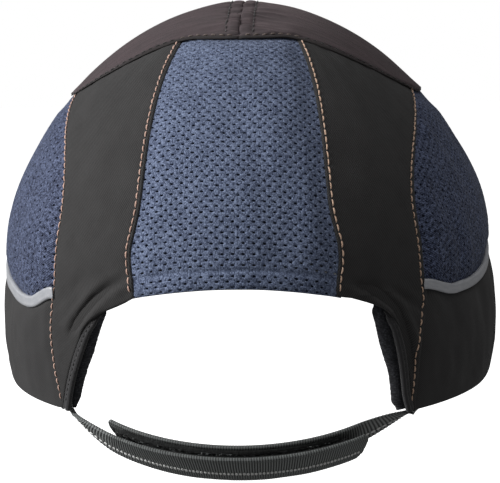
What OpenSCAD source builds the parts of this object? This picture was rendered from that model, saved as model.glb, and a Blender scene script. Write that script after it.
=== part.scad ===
// Bump cap: a fabric cap with mesh panels over a hard inner shell, closed by a two-part rear strap.
// +X is the wearer's right, +Y points forward over the peak and +Z is up.
// The origin is the centre of the head space at brow level, where the cap is widest.
//
// Places on the cap are given by two numbers. The angle runs round the head from 0 at the back,
// through 90 at the wearer's right, to 180 at the front. The level is 0 at the crown top, 1 at brow
// level, and grows by 1 for each skirt_unit below that. An inset is a depth in from the outer face.

/* [Head form] */
// Half width at brow level
half_w = 95.5; // [94:0.5:97]
// Length from the origin to the back
half_back = 107; // [105:0.5:109]
// Length from the origin to the forehead
half_front = 112; // [110:0.5:114]
// Height of the crown above brow level
crown_h = 97; // [94:0.5:100]
// Roundness of the crown, where 1 is an ellipse
crown_round = 1.1; // [1:0.02:1.2]
// How far the side bands stand out below brow level
band_bulge = 4.6; // [3:0.2:6]
// How far the side hems draw in
side_tuck = 3; // [1:0.5:5]
// How far the rear hems draw in towards the nape
nape_tuck = 13; // [11:0.5:15]

/* [Panels] */
// Thickness of the outer fabric
cloth_t = 1.2; // [0.8:0.1:1.3]
// Height of the hem below brow level, at the back and sides
hem_drop = 51; // [49:0.5:53]
// How much higher the hem is at the forehead
hem_rise = 21; // [18:1:24]
// Height of the reflective piping
piping_h = 4.6; // [4:0.2:5.4]
// Diameter of the binding round the flaps
binding_d = 2.6; // [2.2:0.1:3]

/* [Inner parts] */
// Inset of the hard shell's outer face
shell_inset = 2.2; // [2:0.1:2.4]
// Wall thickness of the hard shell
shell_t = 2.2; // [1.8:0.1:2.4]
// Thickness of the foam pads
pad_t = 4.2; // [3:0.2:5]
// Thickness of the sweatband
sweatband_t = 2.4; // [1.6:0.2:3]

/* [Peak] */
// Forward reach of the peak from the origin
peak_reach = 166; // [158:1:172]
// Thickness of the peak's board
board_t = 1.8; // [1.4:0.1:2]
// Thickness of the cloth on the peak
peak_cloth_t = 0.9; // [0.7:0.1:1]

/* [Straps] */
// Width of the strap webbing
strap_w = 18; // [16:0.5:20]
// Thickness of the strap webbing
strap_t = 1.4; // [1.2:0.1:1.6]
// Thickness of the hook patch
hook_t = 1.3; // [1:0.1:1.4]
// Thickness of the loop patch
loop_t = 1.5; // [1.2:0.1:1.6]

/* [Hidden] */
RIGHT = 1;
LEFT = -1;

skirt_unit = 100;      // drop below brow level for one unit of level
seam_gap = 0.16;       // degrees between a panel and the seam line
level_gap = 0.003;     // level between a panel and the crown seam
arch_corner = 21;      // angle of the arch's upper corners
arch_drop = 3;         // drop of the arch's upper corners
pad_inset = shell_inset + shell_t + 0.5;
corner_level = 1 + arch_drop / skirt_unit;

// --- Numbers and vectors -------------------------------------------------------------------------

function mix(a, b, t) = a + (b - a) * t;
function ease(a, b, x) = let (t = min(max((x - a) / (b - a), 0), 1)) t * t * (3 - 2 * t);
function unit(v) = v / norm(v);
function flat(grid) = [for (row = grid) each row];

// --- The cap's outer form ------------------------------------------------------------------------

function level_z(q) = q < 1 ? crown_h * pow(cos(90 * q), crown_round) : (1 - q) * skirt_unit;
function level_r(q) = q < 1 ? pow(sin(90 * q), crown_round) : 1;
function level_at(z) = z <= 0 ? 1 - z / skirt_unit : acos(pow(z / crown_h, 1 / crown_round)) / 90;
function width_at(z) =
    half_w + band_bulge * sin(3 * min(max(-z, 0), 30)) - side_tuck * ease(32, 60, -z);
function length_at(angle, z) = cos(angle) > 0 ? half_back - nape_tuck * ease(0, 60, -z) : half_front;

// A point on the cap at an angle and level, moved in by an inset.
function cap_point(angle, q, inset = 0) =
    let (
        z = level_z(q),
        x = width_at(z) * level_r(q) * sin(angle),
        y = -length_at(angle, z) * level_r(q) * cos(angle),
        long = length_at(angle, 0),
        out = unit([x / pow(half_w, 2), y / pow(long, 2), max(z, 0) / pow(crown_h, 2)])
    )
    [x, y, z] - inset * out;

// --- Seam lines ----------------------------------------------------------------------------------

// Level of the seam round the crown.
function crown_level(angle) = 0.305 + 0.255 * ease(22, 80, abs(angle)) + 0.04 * ease(90, 180, abs(angle));
// Angle of the seam between the rear mesh and the rear panel.
function mesh_angle(q) =
    21.3 + 8.5 * pow(max(0, (0.8 - q) / 0.48), 1.6) + 1.2 * exp(-pow((q - 0.9) / 0.07, 2));
// Angle of the seam between the rear panel and the side.
function side_angle(q) = 43.5 + 25 * pow(max(0, (0.87 - q) / 0.32), 2.4) - 2.5 * ease(1.05, 1.35, q);
// Angle of the seam between the side and the front panel.
function front_angle(q) = 118 + 12 * ease(0.5, 1.3, q);
// Heights of the piping, the hem and the arch, and the angle of the flap's free edge.
function piping_z(angle) = -5 - 4.5 * ease(43, 54, angle) + 25 * ease(58, 135, angle);
function hem_z(angle) = -hem_drop + hem_rise * ease(66, 160, angle);
function arch_z(angle) = 1.6 - 4.4 * pow(angle / arch_corner, 2);
function flap_angle(z) = let (v = -z - arch_drop) arch_corner + 9.5 * (1 - exp(-v / 4.5)) + 0.2 * v;

// --- Builders ------------------------------------------------------------------------------------

module on_side(side) {
    mirror([side == LEFT ? 1 : 0, 0, 0]) children();
}

// A closed sheet between two grids of points, without the cells that is_open picks out.
module sheet(outer, inner, is_open = function (i, j) false) {
    rows = len(outer);
    cols = len(outer[0]);
    over = function (i, j) i * cols + j;
    under = function (i, j) (rows + i) * cols + j;
    solid = function (i, j) i >= 0 && j >= 0 && i < rows - 1 && j < cols - 1 && !is_open(i, j);
    quad = function (a, b, c, d) [[a, b, c], [a, c, d]];
    wall = function (i, j, k, l) quad(over(i, j), over(k, l), under(k, l), under(i, j));
    faces = [
        for (i = [0 : rows - 2], j = [0 : cols - 2]) if (solid(i, j)) each concat(
            quad(over(i, j), over(i + 1, j), over(i + 1, j + 1), over(i, j + 1)),
            quad(under(i, j), under(i, j + 1), under(i + 1, j + 1), under(i + 1, j)),
            solid(i - 1, j) ? [] : wall(i, j, i, j + 1),
            solid(i + 1, j) ? [] : wall(i + 1, j + 1, i + 1, j),
            solid(i, j - 1) ? [] : wall(i + 1, j, i, j),
            solid(i, j + 1) ? [] : wall(i, j + 1, i + 1, j + 1)
        )
    ];
    polyhedron(concat(flat(outer), flat(inner)), faces);
}

// A sheet on the cap, between two insets, from a grid of [angle, level] places.
module cap_sheet(places, from_inset, to_inset, is_open = function (i, j) false) {
    at = function (inset) [for (row = places) [for (p = row) cap_point(p[0], p[1], inset)]];
    sheet(at(from_inset), at(to_inset), is_open);
}

// The place at s across and t down a panel. Its side edges are angles that depend on the level, and
// its top and bottom edges are levels that depend on the angle, so the two are settled in turn.
function settle(s, t, first, last, top, bottom, angle, turns = 14) =
    let (q = mix(top(angle), bottom(angle), t))
    turns == 0 ? [angle, q]
        : settle(s, t, first, last, top, bottom, (angle + mix(first(q), last(q), s)) / 2, turns - 1);

function panel_places(cols, rows, first, last, top, bottom) = [
    for (i = [0 : rows]) [
        for (j = [0 : cols])
            settle(j / cols, i / rows, first, last, top, bottom, mix(first(0.8), last(0.8), j / cols))
    ]
];

// Places in a plain patch between two angles and two levels.
function patch_places(cols, rows, a0, a1, q0, q1) =
    [for (i = [0 : rows]) [for (j = [0 : cols]) [mix(a0, a1, j / cols), mix(q0, q1, i / rows)]]];

// A place on a round patch over the crown, for u and v from -1 to 1 across and along the head.
function disc_place(u, v, reach) =
    let (
        x = u * sqrt(1 - v * v / 2),
        y = v * sqrt(1 - u * u / 2),
        angle = norm([x, y]) < 0.0001 ? 0 : atan2(x, -y)
    )
    [angle, norm([x, y]) * reach(angle)];

// A bar with an oval section that follows a path, with one direction in its section given per point.
module oval_bar(path, lifts, lift_r, side_r, sides = 8) {
    n = len(path);
    ahead = function (i) unit(path[min(i + 1, n - 1)] - path[max(i - 1, 0)]);
    ring = function (i)
        let (across = unit(cross(ahead(i), lifts[i])), lift = cross(across, ahead(i)))
        [for (k = [0 : sides - 1])
            path[i] + lift * lift_r * cos(360 * k / sides) + across * side_r * sin(360 * k / sides)];
    at = function (i, k) i * sides + k % sides;
    skin = [
        for (i = [0 : n - 2], k = [0 : sides - 1]) each [
            [at(i, k), at(i, k + 1), at(i + 1, k + 1)],
            [at(i, k), at(i + 1, k + 1), at(i + 1, k)]
        ]
    ];
    ends = [[for (k = [sides - 1 : -1 : 0]) at(0, k)], [for (k = [0 : sides - 1]) at(n - 1, k)]];
    polyhedron([for (i = [0 : n - 1]) each ring(i)], concat(skin, ends));
}

// --- Crown ---------------------------------------------------------------------------------------

module crown_panel(side) {
    reach = function (angle) crown_level(angle) - level_gap;
    places = [for (i = [0 : 20]) [for (j = [0 : 9]) disc_place(j / 9, 1 - i / 10, reach)]];
    color("#2b2426") on_side(side) translate([0.15, 0, 0]) cap_sheet(places, 0, cloth_t);
}

module crown_seam_tape() {
    half_tape = 5;
    strip = function (inset) [
        for (x = [-half_tape, half_tape]) [
            for (v = [-1 : 0.1 : 1])
                let (angle = v > 0 ? 180 : 0)
                cap_point(angle, abs(v) * (crown_level(angle) - 0.02), inset) + [x, 0, 0]
        ]
    ];
    color("#1d1d20") sheet(strip(cloth_t + 0.45), strip(cloth_t + 0.85));
}

// --- Rear and side panels ------------------------------------------------------------------------

module rear_mesh_panel() {
    first = function (q) -mesh_angle(q) + seam_gap;
    last = function (q) mesh_angle(q) - seam_gap;
    top = function (angle) crown_level(angle) + level_gap;
    bottom = function (angle) level_at(arch_z(angle));
    color("#4d587f") cap_sheet(panel_places(10, 12, first, last, top, bottom), 0, cloth_t);
}

module arch_hem() {
    hem_h = 7;
    edge = arch_corner - 0.6;
    places = [
        for (lift = [hem_h, 0]) [
            for (j = [0 : 10])
                let (angle = mix(-edge, edge, j / 10)) [angle, level_at(arch_z(angle) + lift)]
        ]
    ];
    color("#3c4568") cap_sheet(places, cloth_t + 0.1, cloth_t + 0.8);
}

module rear_panel(side) {
    binding_room = 1;
    first = function (q) mesh_angle(q) + seam_gap;
    last = function (q) side_angle(q) - seam_gap;
    top = function (angle) crown_level(angle) + level_gap;
    bottom = function (angle) corner_level;
    flap_rows = 9;
    flap = [
        for (i = [1 : flap_rows])
            let (
                z = mix(-arch_drop, -hem_drop, pow(i / flap_rows, 1.4)),
                q = level_at(z),
                inner = min(flap_angle(z) + binding_room, last(q) - 0.3)
            )
            [for (j = [0 : 7]) [mix(inner, last(q), j / 7), q]]
    ];
    places = concat(panel_places(7, 12, first, last, top, bottom), flap);
    color("#333134") on_side(side) cap_sheet(places, 0, cloth_t);
}

module side_mesh(side) {
    first = function (q) side_angle(q) + seam_gap;
    last = function (q) front_angle(q) - seam_gap;
    top = function (angle) crown_level(angle) + level_gap;
    bottom = function (angle) level_at(piping_z(angle) + piping_h / 2);
    color("#3f4a73") on_side(side) cap_sheet(panel_places(10, 10, first, last, top, bottom), 0, cloth_t);
}

module side_band(side) {
    first = function (q) side_angle(q) + seam_gap;
    last = function (q) front_angle(q) - seam_gap;
    top = function (angle) level_at(piping_z(angle) - piping_h / 2);
    bottom = function (angle) level_at(hem_z(angle));
    color("#2c2a2d") on_side(side) cap_sheet(panel_places(12, 6, first, last, top, bottom), 0, cloth_t);
}

module front_panel() {
    first = function (q) front_angle(q) + seam_gap;
    last = function (q) 360 - front_angle(q) - seam_gap;
    fold = function (angle) min(angle, 360 - angle);
    top = function (angle) crown_level(fold(angle)) + level_gap;
    bottom = function (angle) level_at(hem_z(fold(angle)));
    color("#2c2a2d") cap_sheet(panel_places(14, 10, first, last, top, bottom), 0, cloth_t);
}

// --- Trim ----------------------------------------------------------------------------------------

module piping(side) {
    last = front_angle(level_at(12)) - 0.6;
    spots = [for (i = [0 : 26]) mix(side_angle(1.05) + 0.8, last, i / 26)];
    path = [for (a = spots) cap_point(a, level_at(piping_z(a)), 0.1)];
    lifts = [for (a = spots) [0, 0, 1]];
    color("#b9bcc0") on_side(side) oval_bar(path, lifts, piping_h / 2 - 0.3, 1.4);
}

module flap_binding(side) {
    spots = [for (i = [0 : 22]) mix(-arch_drop - 5, -hem_drop + 1, pow(i / 22, 1.2))];
    path = [for (z = spots) cap_point(flap_angle(z) - 0.5, level_at(z), 0.8)];
    lifts = [for (z = spots) cap_point(flap_angle(z), level_at(z), -1) - cap_point(flap_angle(z), level_at(z))];
    color("#242326") on_side(side) oval_bar(path, lifts, binding_d / 2, binding_d / 2 - 0.2, 6);
}

// --- Lining and inner protection -----------------------------------------------------------------

module neck_pad(side) {
    from_z = -8;
    to_z = -46;
    last = 57;
    places = [
        for (i = [0 : 7])
            let (z = mix(from_z, to_z, i / 7))
            [for (j = [0 : 5]) [mix(flap_angle(z) + 0.9, last, j / 5), level_at(z)]]
    ];
    color("#1c1b1e") on_side(side) cap_sheet(places, 3.6, 7.6);
}

module sweatband() {
    first = 59;
    places = [
        for (t = [0, 0.5, 1]) [
            for (j = [0 : 32])
                let (
                    angle = mix(first, 360 - first, j / 32),
                    low = hem_z(min(angle, 360 - angle)) + 2,
                    high = 5
                )
                [angle, level_at(mix(high, low, t))]
        ]
    ];
    color("#232226") cap_sheet(places, pad_inset, pad_inset + sweatband_t);
}

module bump_shell() {
    rim = 0.92;
    n = 18;
    places = [for (i = [0 : n]) [for (j = [0 : n]) disc_place(2 * j / n - 1, 1 - 2 * i / n, function (a) rim)]];
    vent = function (i, j) i % 4 == 1 && j % 2 == 1 && min(i, j) > 2 && max(i, j) < n - 3;
    color("#3a4a70") cap_sheet(places, shell_inset, shell_inset + shell_t, vent);
}

module crown_pad() {
    places = [for (i = [0 : 10]) [for (j = [0 : 10]) disc_place(j / 5 - 1, 1 - i / 5, function (a) 0.4)]];
    color("#18181b") cap_sheet(places, pad_inset + 0.5, pad_inset + 0.5 + pad_t);
}

module head_pad(a0, a1, q0, q1) {
    color("#18181b") cap_sheet(patch_places(8, 4, a0, a1, q0, q1), pad_inset, pad_inset + pad_t);
}

module front_pad() {
    head_pad(150, 210, 0.6, 0.88);
}

module rear_pad() {
    head_pad(-28, 28, 0.55, 0.84);
}

module side_pad(side) {
    on_side(side) head_pad(62, 118, 0.58, 0.86);
}

// --- Peak ----------------------------------------------------------------------------------------

peak_half_angle = 50;
peak_tip = 0.95;       // how far round the peak the layers reach, of 1
peak_turn = 80;        // angle of the oval that the peak's outline follows
peak_root = [73, 72];  // where the outline would meet the cap
edge_room = 2.6;       // from the outline in to the edges of the layers

// The root line of the peak, just under the hem.
function peak_inner(s) =
    let (angle = 180 - peak_half_angle * s, p = cap_point(angle, 1, 2.6))
    [p[0], p[1], hem_z(180 - peak_half_angle * abs(s)) - 0.5];

// The outline of the peak.
function peak_outer(s) =
    let (
        rise = (cos(peak_turn * s) - cos(peak_turn)) / (1 - cos(peak_turn)),
        droop = 7 * (1 - s * s) + 20 * s * s * (1 - s * s)
    )
    [
        peak_root[0] * sin(peak_turn * s) / sin(peak_turn),
        peak_root[1] + (peak_reach - peak_root[1]) * rise,
        peak_inner(s)[2] - droop
    ];

function peak_point(s, t, drop) =
    let (
        a = peak_inner(s),
        b = peak_outer(s),
        room = edge_room / norm(b - a),
        crown = 3 * 4 * t * (1 - t) * (1 - s * s)
    )
    mix(a, b, t * (1 - room)) + [0, 0, crown - drop];

module peak_layer(from_drop, to_drop) {
    layer = function (drop) [
        for (t = [0 : 0.2 : 1]) [for (j = [-9 : 9]) peak_point(peak_tip * j / 9, t, drop)]
    ];
    sheet(layer(to_drop), layer(from_drop));
}

board_drop = peak_cloth_t + 0.15;
under_drop = board_drop + board_t + 0.15;

module peak_cover_top() {
    color("#2a282b") peak_layer(0, peak_cloth_t);
}

module peak_board() {
    color("#d8d8d4") peak_layer(board_drop, board_drop + board_t);
}

module peak_cover_under() {
    color("#2a282b") peak_layer(under_drop, under_drop + peak_cloth_t);
}

module peak_binding() {
    mid_drop = (under_drop + peak_cloth_t) / 2;
    path = [for (j = [-15 : 15]) peak_outer(peak_tip * j / 15) - [0, 0, mid_drop]];
    lifts = [for (p = path) [0, 0, 1]];
    color("#242326") oval_bar(path, lifts, mid_drop + 0.4, 1.4);
}

// --- Straps --------------------------------------------------------------------------------------

// Both straps follow one oval arc in a plane that drops towards the back. Their faces lean, so that
// the lower edge lies nearer the neck. Arc angle 0 is the middle of the nape.
arc_centre = [0, -44.5, -38.5];
arc_r = 73;
arc_flat = 0.79;       // depth of the arc over its half width
arc_drop = 28;         // slope of the arc's plane
lean = 21.5;           // lean of the strap faces from that plane's normal
root_arc = 55;         // arc angle where a strap leaves its flap
root_skew = 13;        // how much further round the lower edge starts
root_z = -hem_drop - 1.7;
patch_gap = 0.1;       // room between a patch and its webbing
layer_gap = 0.35;      // room between the hook patch and the loop patch
inner_shift = strap_t + hook_t + loop_t + 2 * patch_gap + layer_gap;

arc_x = [1, 0, 0];
arc_back = [0, -cos(arc_drop), -sin(arc_drop)];
arc_down = [0, sin(arc_drop), -cos(arc_drop)];

function arc_mid(a) = arc_centre + arc_r * (sin(a) * arc_x + arc_flat * cos(a) * arc_back);
function arc_out(a) = unit(arc_flat * sin(a) * arc_x + cos(a) * arc_back);
function face_out(a) = cos(lean) * arc_out(a) + sin(lean) * arc_down;
function face_down(a) = cos(lean) * arc_down - sin(lean) * arc_out(a);

// The two ends of a strap's root line, behind the flap's lower edge. end is -1 at the corner of the
// flap and 1 nearer the ear.
function root_end(end) =
    let (p = end < 0 ? cap_point(41, level_at(root_z), 2.2) : cap_point(46, level_at(root_z), 7))
    [p[0], p[1], root_z];

// A point on a strap that starts at the wearer's right. along runs from 0 at the root to 1 at the
// tip, across from -1 at the upper edge to 1 at the lower edge, and depth is out from its middle.
function strap_point(along, across, depth, tip_arc, shift) =
    let (
        skew = root_skew * (1 - ease(0, 0.35, along)) * (across + 1) / 2,
        a = mix(root_arc, tip_arc, along) + skew,
        free = ease(0, 0.2, along),
        on_arc = arc_mid(a) + across * strap_w / 2 * face_down(a) - shift * face_out(a),
        root = mix(root_end(-1), root_end(1), (across + 1) / 2)
    )
    mix(root, on_arc, free) + depth * face_out(a);

// A band on a strap between two depths, with a rounded tip.
module strap_band(from, to, width, depth0, depth1, tip_arc, shift) {
    steps = 26;
    sides = 4;
    pull = 0.045;
    face = function (depth) [
        for (j = [0 : sides])
            let (across = width * (2 * j / sides - 1), reach = to - pull * pow(abs(across), 4))
            [for (i = [0 : steps]) strap_point(mix(from, reach, i / steps), across, depth, tip_arc, shift)]
    ];
    sheet(face(depth1), face(depth0));
}

outer_tip = -38;
inner_tip = -42;

module strap_left() {
    color("#303234") on_side(LEFT)
        strap_band(0, 1, 1, -strap_t / 2, strap_t / 2, outer_tip, 0);
}

module hook_patch() {
    face = strap_t / 2 + patch_gap;
    color("#151517") on_side(LEFT)
        strap_band(0.3, 0.97, 0.86, -face - hook_t, -face, outer_tip, 0);
}

module strap_right() {
    color("#303234")
        strap_band(0, 1, 1, -strap_t / 2, strap_t / 2, inner_tip, inner_shift);
}

module loop_patch() {
    face = strap_t / 2 + patch_gap;
    color("#1b1b1d")
        strap_band(0.26, 0.97, 0.86, face, face + loop_t, inner_tip, inner_shift);
}

// The sewn-in tail of each strap, between the flap's cloth and the neck pad. Its foot leans in
// under the pad to meet the strap.
module strap_tab(side) {
    cloth_side = 1.6;
    foot_lean = 4;
    // Height above the hem, and how far the row leans in
    rows = [[11, 0], [5.4, 0], [0.3, 1]];
    tab = function (extra) [
        for (row = rows) [
            for (j = [0 : 4])
                let (inset = cloth_side + foot_lean * row[1] * j / 4 + extra)
                cap_point(mix(41.5, 46.5, j / 4), level_at(row[0] - hem_drop), inset)
        ]
    ];
    color("#303234") on_side(side) sheet(tab(0), tab(1.2));
}

crown_panel(LEFT);  // crown_panel_left
crown_panel(RIGHT);  // crown_panel_right
crown_seam_tape();
rear_mesh_panel();
arch_hem();
rear_panel(LEFT);  // rear_panel_left
rear_panel(RIGHT);  // rear_panel_right
side_mesh(LEFT);  // side_mesh_left
side_mesh(RIGHT);  // side_mesh_right
side_band(LEFT);  // side_band_left
side_band(RIGHT);  // side_band_right
front_panel();
piping(LEFT);  // piping_left
piping(RIGHT);  // piping_right
flap_binding(LEFT);  // flap_binding_left
flap_binding(RIGHT);  // flap_binding_right
neck_pad(LEFT);  // neck_pad_left
neck_pad(RIGHT);  // neck_pad_right
sweatband();
bump_shell();
crown_pad();
front_pad();
rear_pad();
side_pad(LEFT);  // side_pad_left
side_pad(RIGHT);  // side_pad_right
peak_cover_top();
peak_board();
peak_cover_under();
peak_binding();
strap_tab(LEFT);  // strap_tab_left
strap_tab(RIGHT);  // strap_tab_right
strap_left();
hook_patch();
strap_right();
loop_patch();
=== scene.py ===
import math
import bmesh
import bpy
import numpy as np
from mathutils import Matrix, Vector
from mathutils.bvhtree import BVHTree


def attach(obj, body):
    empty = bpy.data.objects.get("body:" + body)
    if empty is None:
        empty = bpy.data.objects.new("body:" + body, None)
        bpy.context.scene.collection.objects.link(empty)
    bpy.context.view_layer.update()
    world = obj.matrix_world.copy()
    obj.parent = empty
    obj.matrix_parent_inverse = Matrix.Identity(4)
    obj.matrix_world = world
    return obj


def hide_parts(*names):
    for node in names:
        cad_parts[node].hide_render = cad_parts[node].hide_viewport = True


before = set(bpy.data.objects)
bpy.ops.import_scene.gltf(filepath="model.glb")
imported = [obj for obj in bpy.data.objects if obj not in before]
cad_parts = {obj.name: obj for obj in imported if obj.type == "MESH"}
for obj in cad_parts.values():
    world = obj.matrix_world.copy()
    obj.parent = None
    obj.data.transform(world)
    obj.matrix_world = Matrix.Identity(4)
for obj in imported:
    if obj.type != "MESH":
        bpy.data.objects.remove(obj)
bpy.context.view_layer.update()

# Lengths below are in millimetres and angles in degrees. A place on the cap is an angle (0 at the
# back, 90 at the wearer's right, 180 in front) and a level (0 at the crown top, 1 at brow level).
MM = 0.001
LEFT, RIGHT = -1, 1

# --- The cap's form, as in the CAD model ---------------------------------------------------------

HALF_W, HALF_BACK, HALF_FRONT = 95.5, 107.0, 112.0
CROWN_H, CROWN_ROUND = 97.0, 1.1
BAND_BULGE, SIDE_TUCK, NAPE_TUCK = 4.6, 3.0, 13.0
HEM_DROP, HEM_RISE = 51.0, 21.0
PIPING_H = 4.6
ARCH_CORNER, ARCH_DROP = 21.0, 3.0
SHELL_INSET, SHELL_T, PAD_T, BAND_T = 2.2, 2.2, 4.2, 2.4
PAD_INSET = SHELL_INSET + SHELL_T + 0.5
MEAN_LONG = 109.0  # half the crown's length, taking back and front together
ARC_PER_DEGREE = 1.75  # mm round the cap in one degree at brow level
CROWN_ARC = 152.0  # mm over the cap from brow level to the crown top
PEAK_ROWS = (5.5, 12.0, 18.5, 25.0, 31.5)  # stitch rows, from the peak's edge
LIP_ROW = 4.7  # from the crown lip's lower edge to its stitch row


def sind(x):
    return np.sin(np.radians(x))


def cosd(x):
    return np.cos(np.radians(x))


def ease(a, b, x):
    t = np.clip((np.asarray(x, float) - a) / (b - a), 0, 1)
    return t * t * (3 - 2 * t)


def mix(a, b, t):
    return a + (b - a) * t


def unit(v):
    return v / np.maximum(np.linalg.norm(v, axis=-1, keepdims=True), 1e-12)


def level_z(q):
    dome = CROWN_H * np.maximum(cosd(90 * np.minimum(q, 1)), 0) ** CROWN_ROUND
    return np.where(q < 1, dome, (1 - q) * 100)


def level_r(q):
    return np.where(q < 1, sind(90 * np.clip(q, 0, 1)) ** CROWN_ROUND, 1.0)


def level_at(z):
    z = np.asarray(z, float)
    up = np.degrees(np.arccos(np.clip(z / CROWN_H, 0, 1) ** (1 / CROWN_ROUND))) / 90
    return np.where(z <= 0, 1 - z / 100, up)


def width_at(z):
    low = np.clip(-z, 0, 30)
    return HALF_W + BAND_BULGE * sind(3 * low) - SIDE_TUCK * ease(32, 60, -z)


def cap_point(angle, q, inset=0.0):
    angle, q = np.broadcast_arrays(np.asarray(angle, float), np.asarray(q, float))
    z = level_z(q)
    back = cosd(angle) > 0
    long = np.where(back, HALF_BACK - NAPE_TUCK * ease(0, 60, -z), HALF_FRONT)
    base = np.where(back, HALF_BACK, HALF_FRONT)
    x = width_at(z) * level_r(q) * sind(angle)
    y = -long * level_r(q) * cosd(angle)
    out = unit(np.stack([x / HALF_W**2, y / base**2, np.maximum(z, 0) / CROWN_H**2], -1))
    return np.stack([x, y, z], -1) - np.asarray(inset)[..., None] * out


def mirror_angle(a):
    return np.minimum(a, 360 - a)


def crown_level(a):
    a = np.abs(a)
    return 0.305 + 0.255 * ease(22, 80, a) + 0.04 * ease(90, 180, a)


def mesh_angle(q):
    return 21.3 + 8.5 * np.maximum(0, (0.8 - q) / 0.48) ** 1.6 + 1.2 * np.exp(-(((q - 0.9) / 0.07) ** 2))


def side_angle(q, side):
    low = 1.0 - 1.0 * ease(1.15, 1.45, q) if side == LEFT else 0.7 - 3.7 * ease(1.05, 1.3, q)
    return 43.5 + 25 * np.maximum(0, (0.87 - q) / 0.32) ** 2.4 + low


def front_angle(q):
    return 118 + 12 * ease(0.5, 1.3, q)


def piping_z(a, side):
    shift = -1.6 * ease(45, 52, a) * ease(66, 56, a) if side == LEFT else 2.4 * ease(110, 90, a)
    return -5 - 4.5 * ease(43, 54, a) + 25 * ease(58, 135, a) + shift


def hem_z(a):
    return -HEM_DROP + HEM_RISE * ease(66, 160, a)


def arch_z(a):
    return 1.6 - 4.4 * (a / ARCH_CORNER) ** 2


# The flaps' free edges: mm below brow level, and the angle at each.
FLAP_EDGE = {
    LEFT: ((1, 3, 5, 8, 11, 14, 18, 26.5, 37.5, 44, 50.5, 58),
    (20, 21.3, 23.2, 26, 29, 31, 32.5, 34.8, 37.8, 39.6, 41.3, 43)),
    RIGHT: ((1, 3, 5, 9.5, 15.5, 25.5, 35.5, 43.5, 49.5, 58),
    (20, 23, 27, 31, 33.6, 35, 36, 37, 38.5, 40.5)),
}


def flap_angle(z, side):
    drops, angles = FLAP_EDGE[side]
    edge = sum(np.interp(-z + d, drops, angles) for d in (-2, -1, 0, 1, 2)) / 5
    return edge + 1.3 * ease(-4, -10, z)


def lip_level(a):
    """Level of the lower edge of the crown's sewn-down lip."""
    return crown_level(a) + 0.007 + 0.024 * ease(66, 24, mirror_angle(np.abs(a)))


# --- Noise, distances and spacing ----------------------------------------------------------------


def noise(x, y, seed=0):
    """Smooth noise from -1 to 1 with one feature per unit."""
    x, y = np.broadcast_arrays(np.asarray(x, float), np.asarray(y, float))
    xi, yi = np.floor(x), np.floor(y)
    fx, fy = x - xi, y - yi
    fx, fy = fx**3 * (fx * (fx * 6 - 15) + 10), fy**3 * (fy * (fy * 6 - 15) + 10)

    def corner(i, j):
        n = np.sin(i * 127.1 + j * 311.7 + seed * 74.7) * 43758.5453
        return (n - np.floor(n)) * 2 - 1

    low = mix(corner(xi, yi), corner(xi + 1, yi), fx)
    high = mix(corner(xi, yi + 1), corner(xi + 1, yi + 1), fx)
    return mix(low, high, fy)


def far_from(points, line):
    """Distance from each point to a polyline."""
    flat = points.reshape(-1, 3)
    a, b = line[:-1], line[1:]
    ab = b - a
    size = np.maximum((ab * ab).sum(-1), 1e-9)
    best = np.full(len(flat), 1e9)
    for k in range(len(a)):
        t = np.clip(((flat - a[k]) @ ab[k]) / size[k], 0, 1)
        best = np.minimum(best, np.linalg.norm(flat - a[k] - t[:, None] * ab[k], axis=1))
    return best.reshape(points.shape[:-1])


def spaced(length, step, near=(0, 0.3, 0.6, 0.95, 1.35, 1.8, 2.3, 2.9, 3.7), far=None):
    """Places from 0 to 1 along a length, closer together near its ends."""
    a = np.array(near) / length
    b = 1 - np.array(near if far is None else far)[::-1] / length
    n = max(2, int(round((b[0] - a[-1]) * length / step)))
    return np.concatenate([a, np.linspace(a[-1], b[0], n + 1)[1:-1], b])


def walk(line):
    return np.concatenate([[0], np.cumsum(np.linalg.norm(np.diff(line, axis=0), axis=1))])


def resample(line, step):
    s = walk(line)
    at = np.linspace(0, s[-1], max(2, int(round(s[-1] / step)) + 1))
    return np.stack([np.interp(at, s, line[:, k]) for k in range(3)], -1)


# --- Mesh building -------------------------------------------------------------------------------


def mesh_object(name, verts, faces, material, cloth=None, side=RIGHT):
    """A smooth mesh object from vertices in mm and arrays of faces, mirrored for the wearer's left."""
    verts = np.array(verts, float).reshape(-1, 3)
    if side == LEFT:
        verts[:, 0] *= -1
        faces = [f[:, ::-1] for f in faces]
    me = bpy.data.meshes.new(name)
    me.vertices.add(len(verts))
    me.vertices.foreach_set("co", (verts * MM).astype(np.float32).ravel())
    loops = np.concatenate([f.ravel() for f in faces]).astype(np.int32)
    counts = np.concatenate([np.full(len(f), f.shape[1]) for f in faces])
    me.loops.add(len(loops))
    me.loops.foreach_set("vertex_index", loops)
    me.polygons.add(len(counts))
    me.polygons.foreach_set("loop_start", np.concatenate([[0], np.cumsum(counts)[:-1]]).astype(np.int32))
    me.update(calc_edges=True)
    me.validate()
    me.shade_smooth()
    if cloth is not None:
        layer = me.attributes.new("cloth", "FLOAT_VECTOR", "POINT")
        layer.data.foreach_set("vector", np.asarray(cloth, np.float32).reshape(-1, 3).ravel())
    ob = bpy.data.objects.new(name, me)
    bpy.context.scene.collection.objects.link(ob)
    me.materials.append(material)
    return ob


def turn_outward(ob):
    """Make every face of a closed mesh look outward."""
    bm = bmesh.new()
    bm.from_mesh(ob.data)
    bmesh.ops.recalc_face_normals(bm, faces=bm.faces)
    bm.to_mesh(ob.data)
    bm.free()


def merge_doubles(ob, distance=1e-6):
    bm = bmesh.new()
    bm.from_mesh(ob.data)
    bmesh.ops.remove_doubles(bm, verts=bm.verts, dist=distance)
    bm.to_mesh(ob.data)
    bm.free()


def grid_quads(rows, cols):
    i, j = np.meshgrid(np.arange(rows - 1), np.arange(cols - 1), indexing="ij")
    a = (i * cols + j).ravel()
    return np.stack([a, a + cols, a + cols + 1, a + 1], -1)


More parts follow.
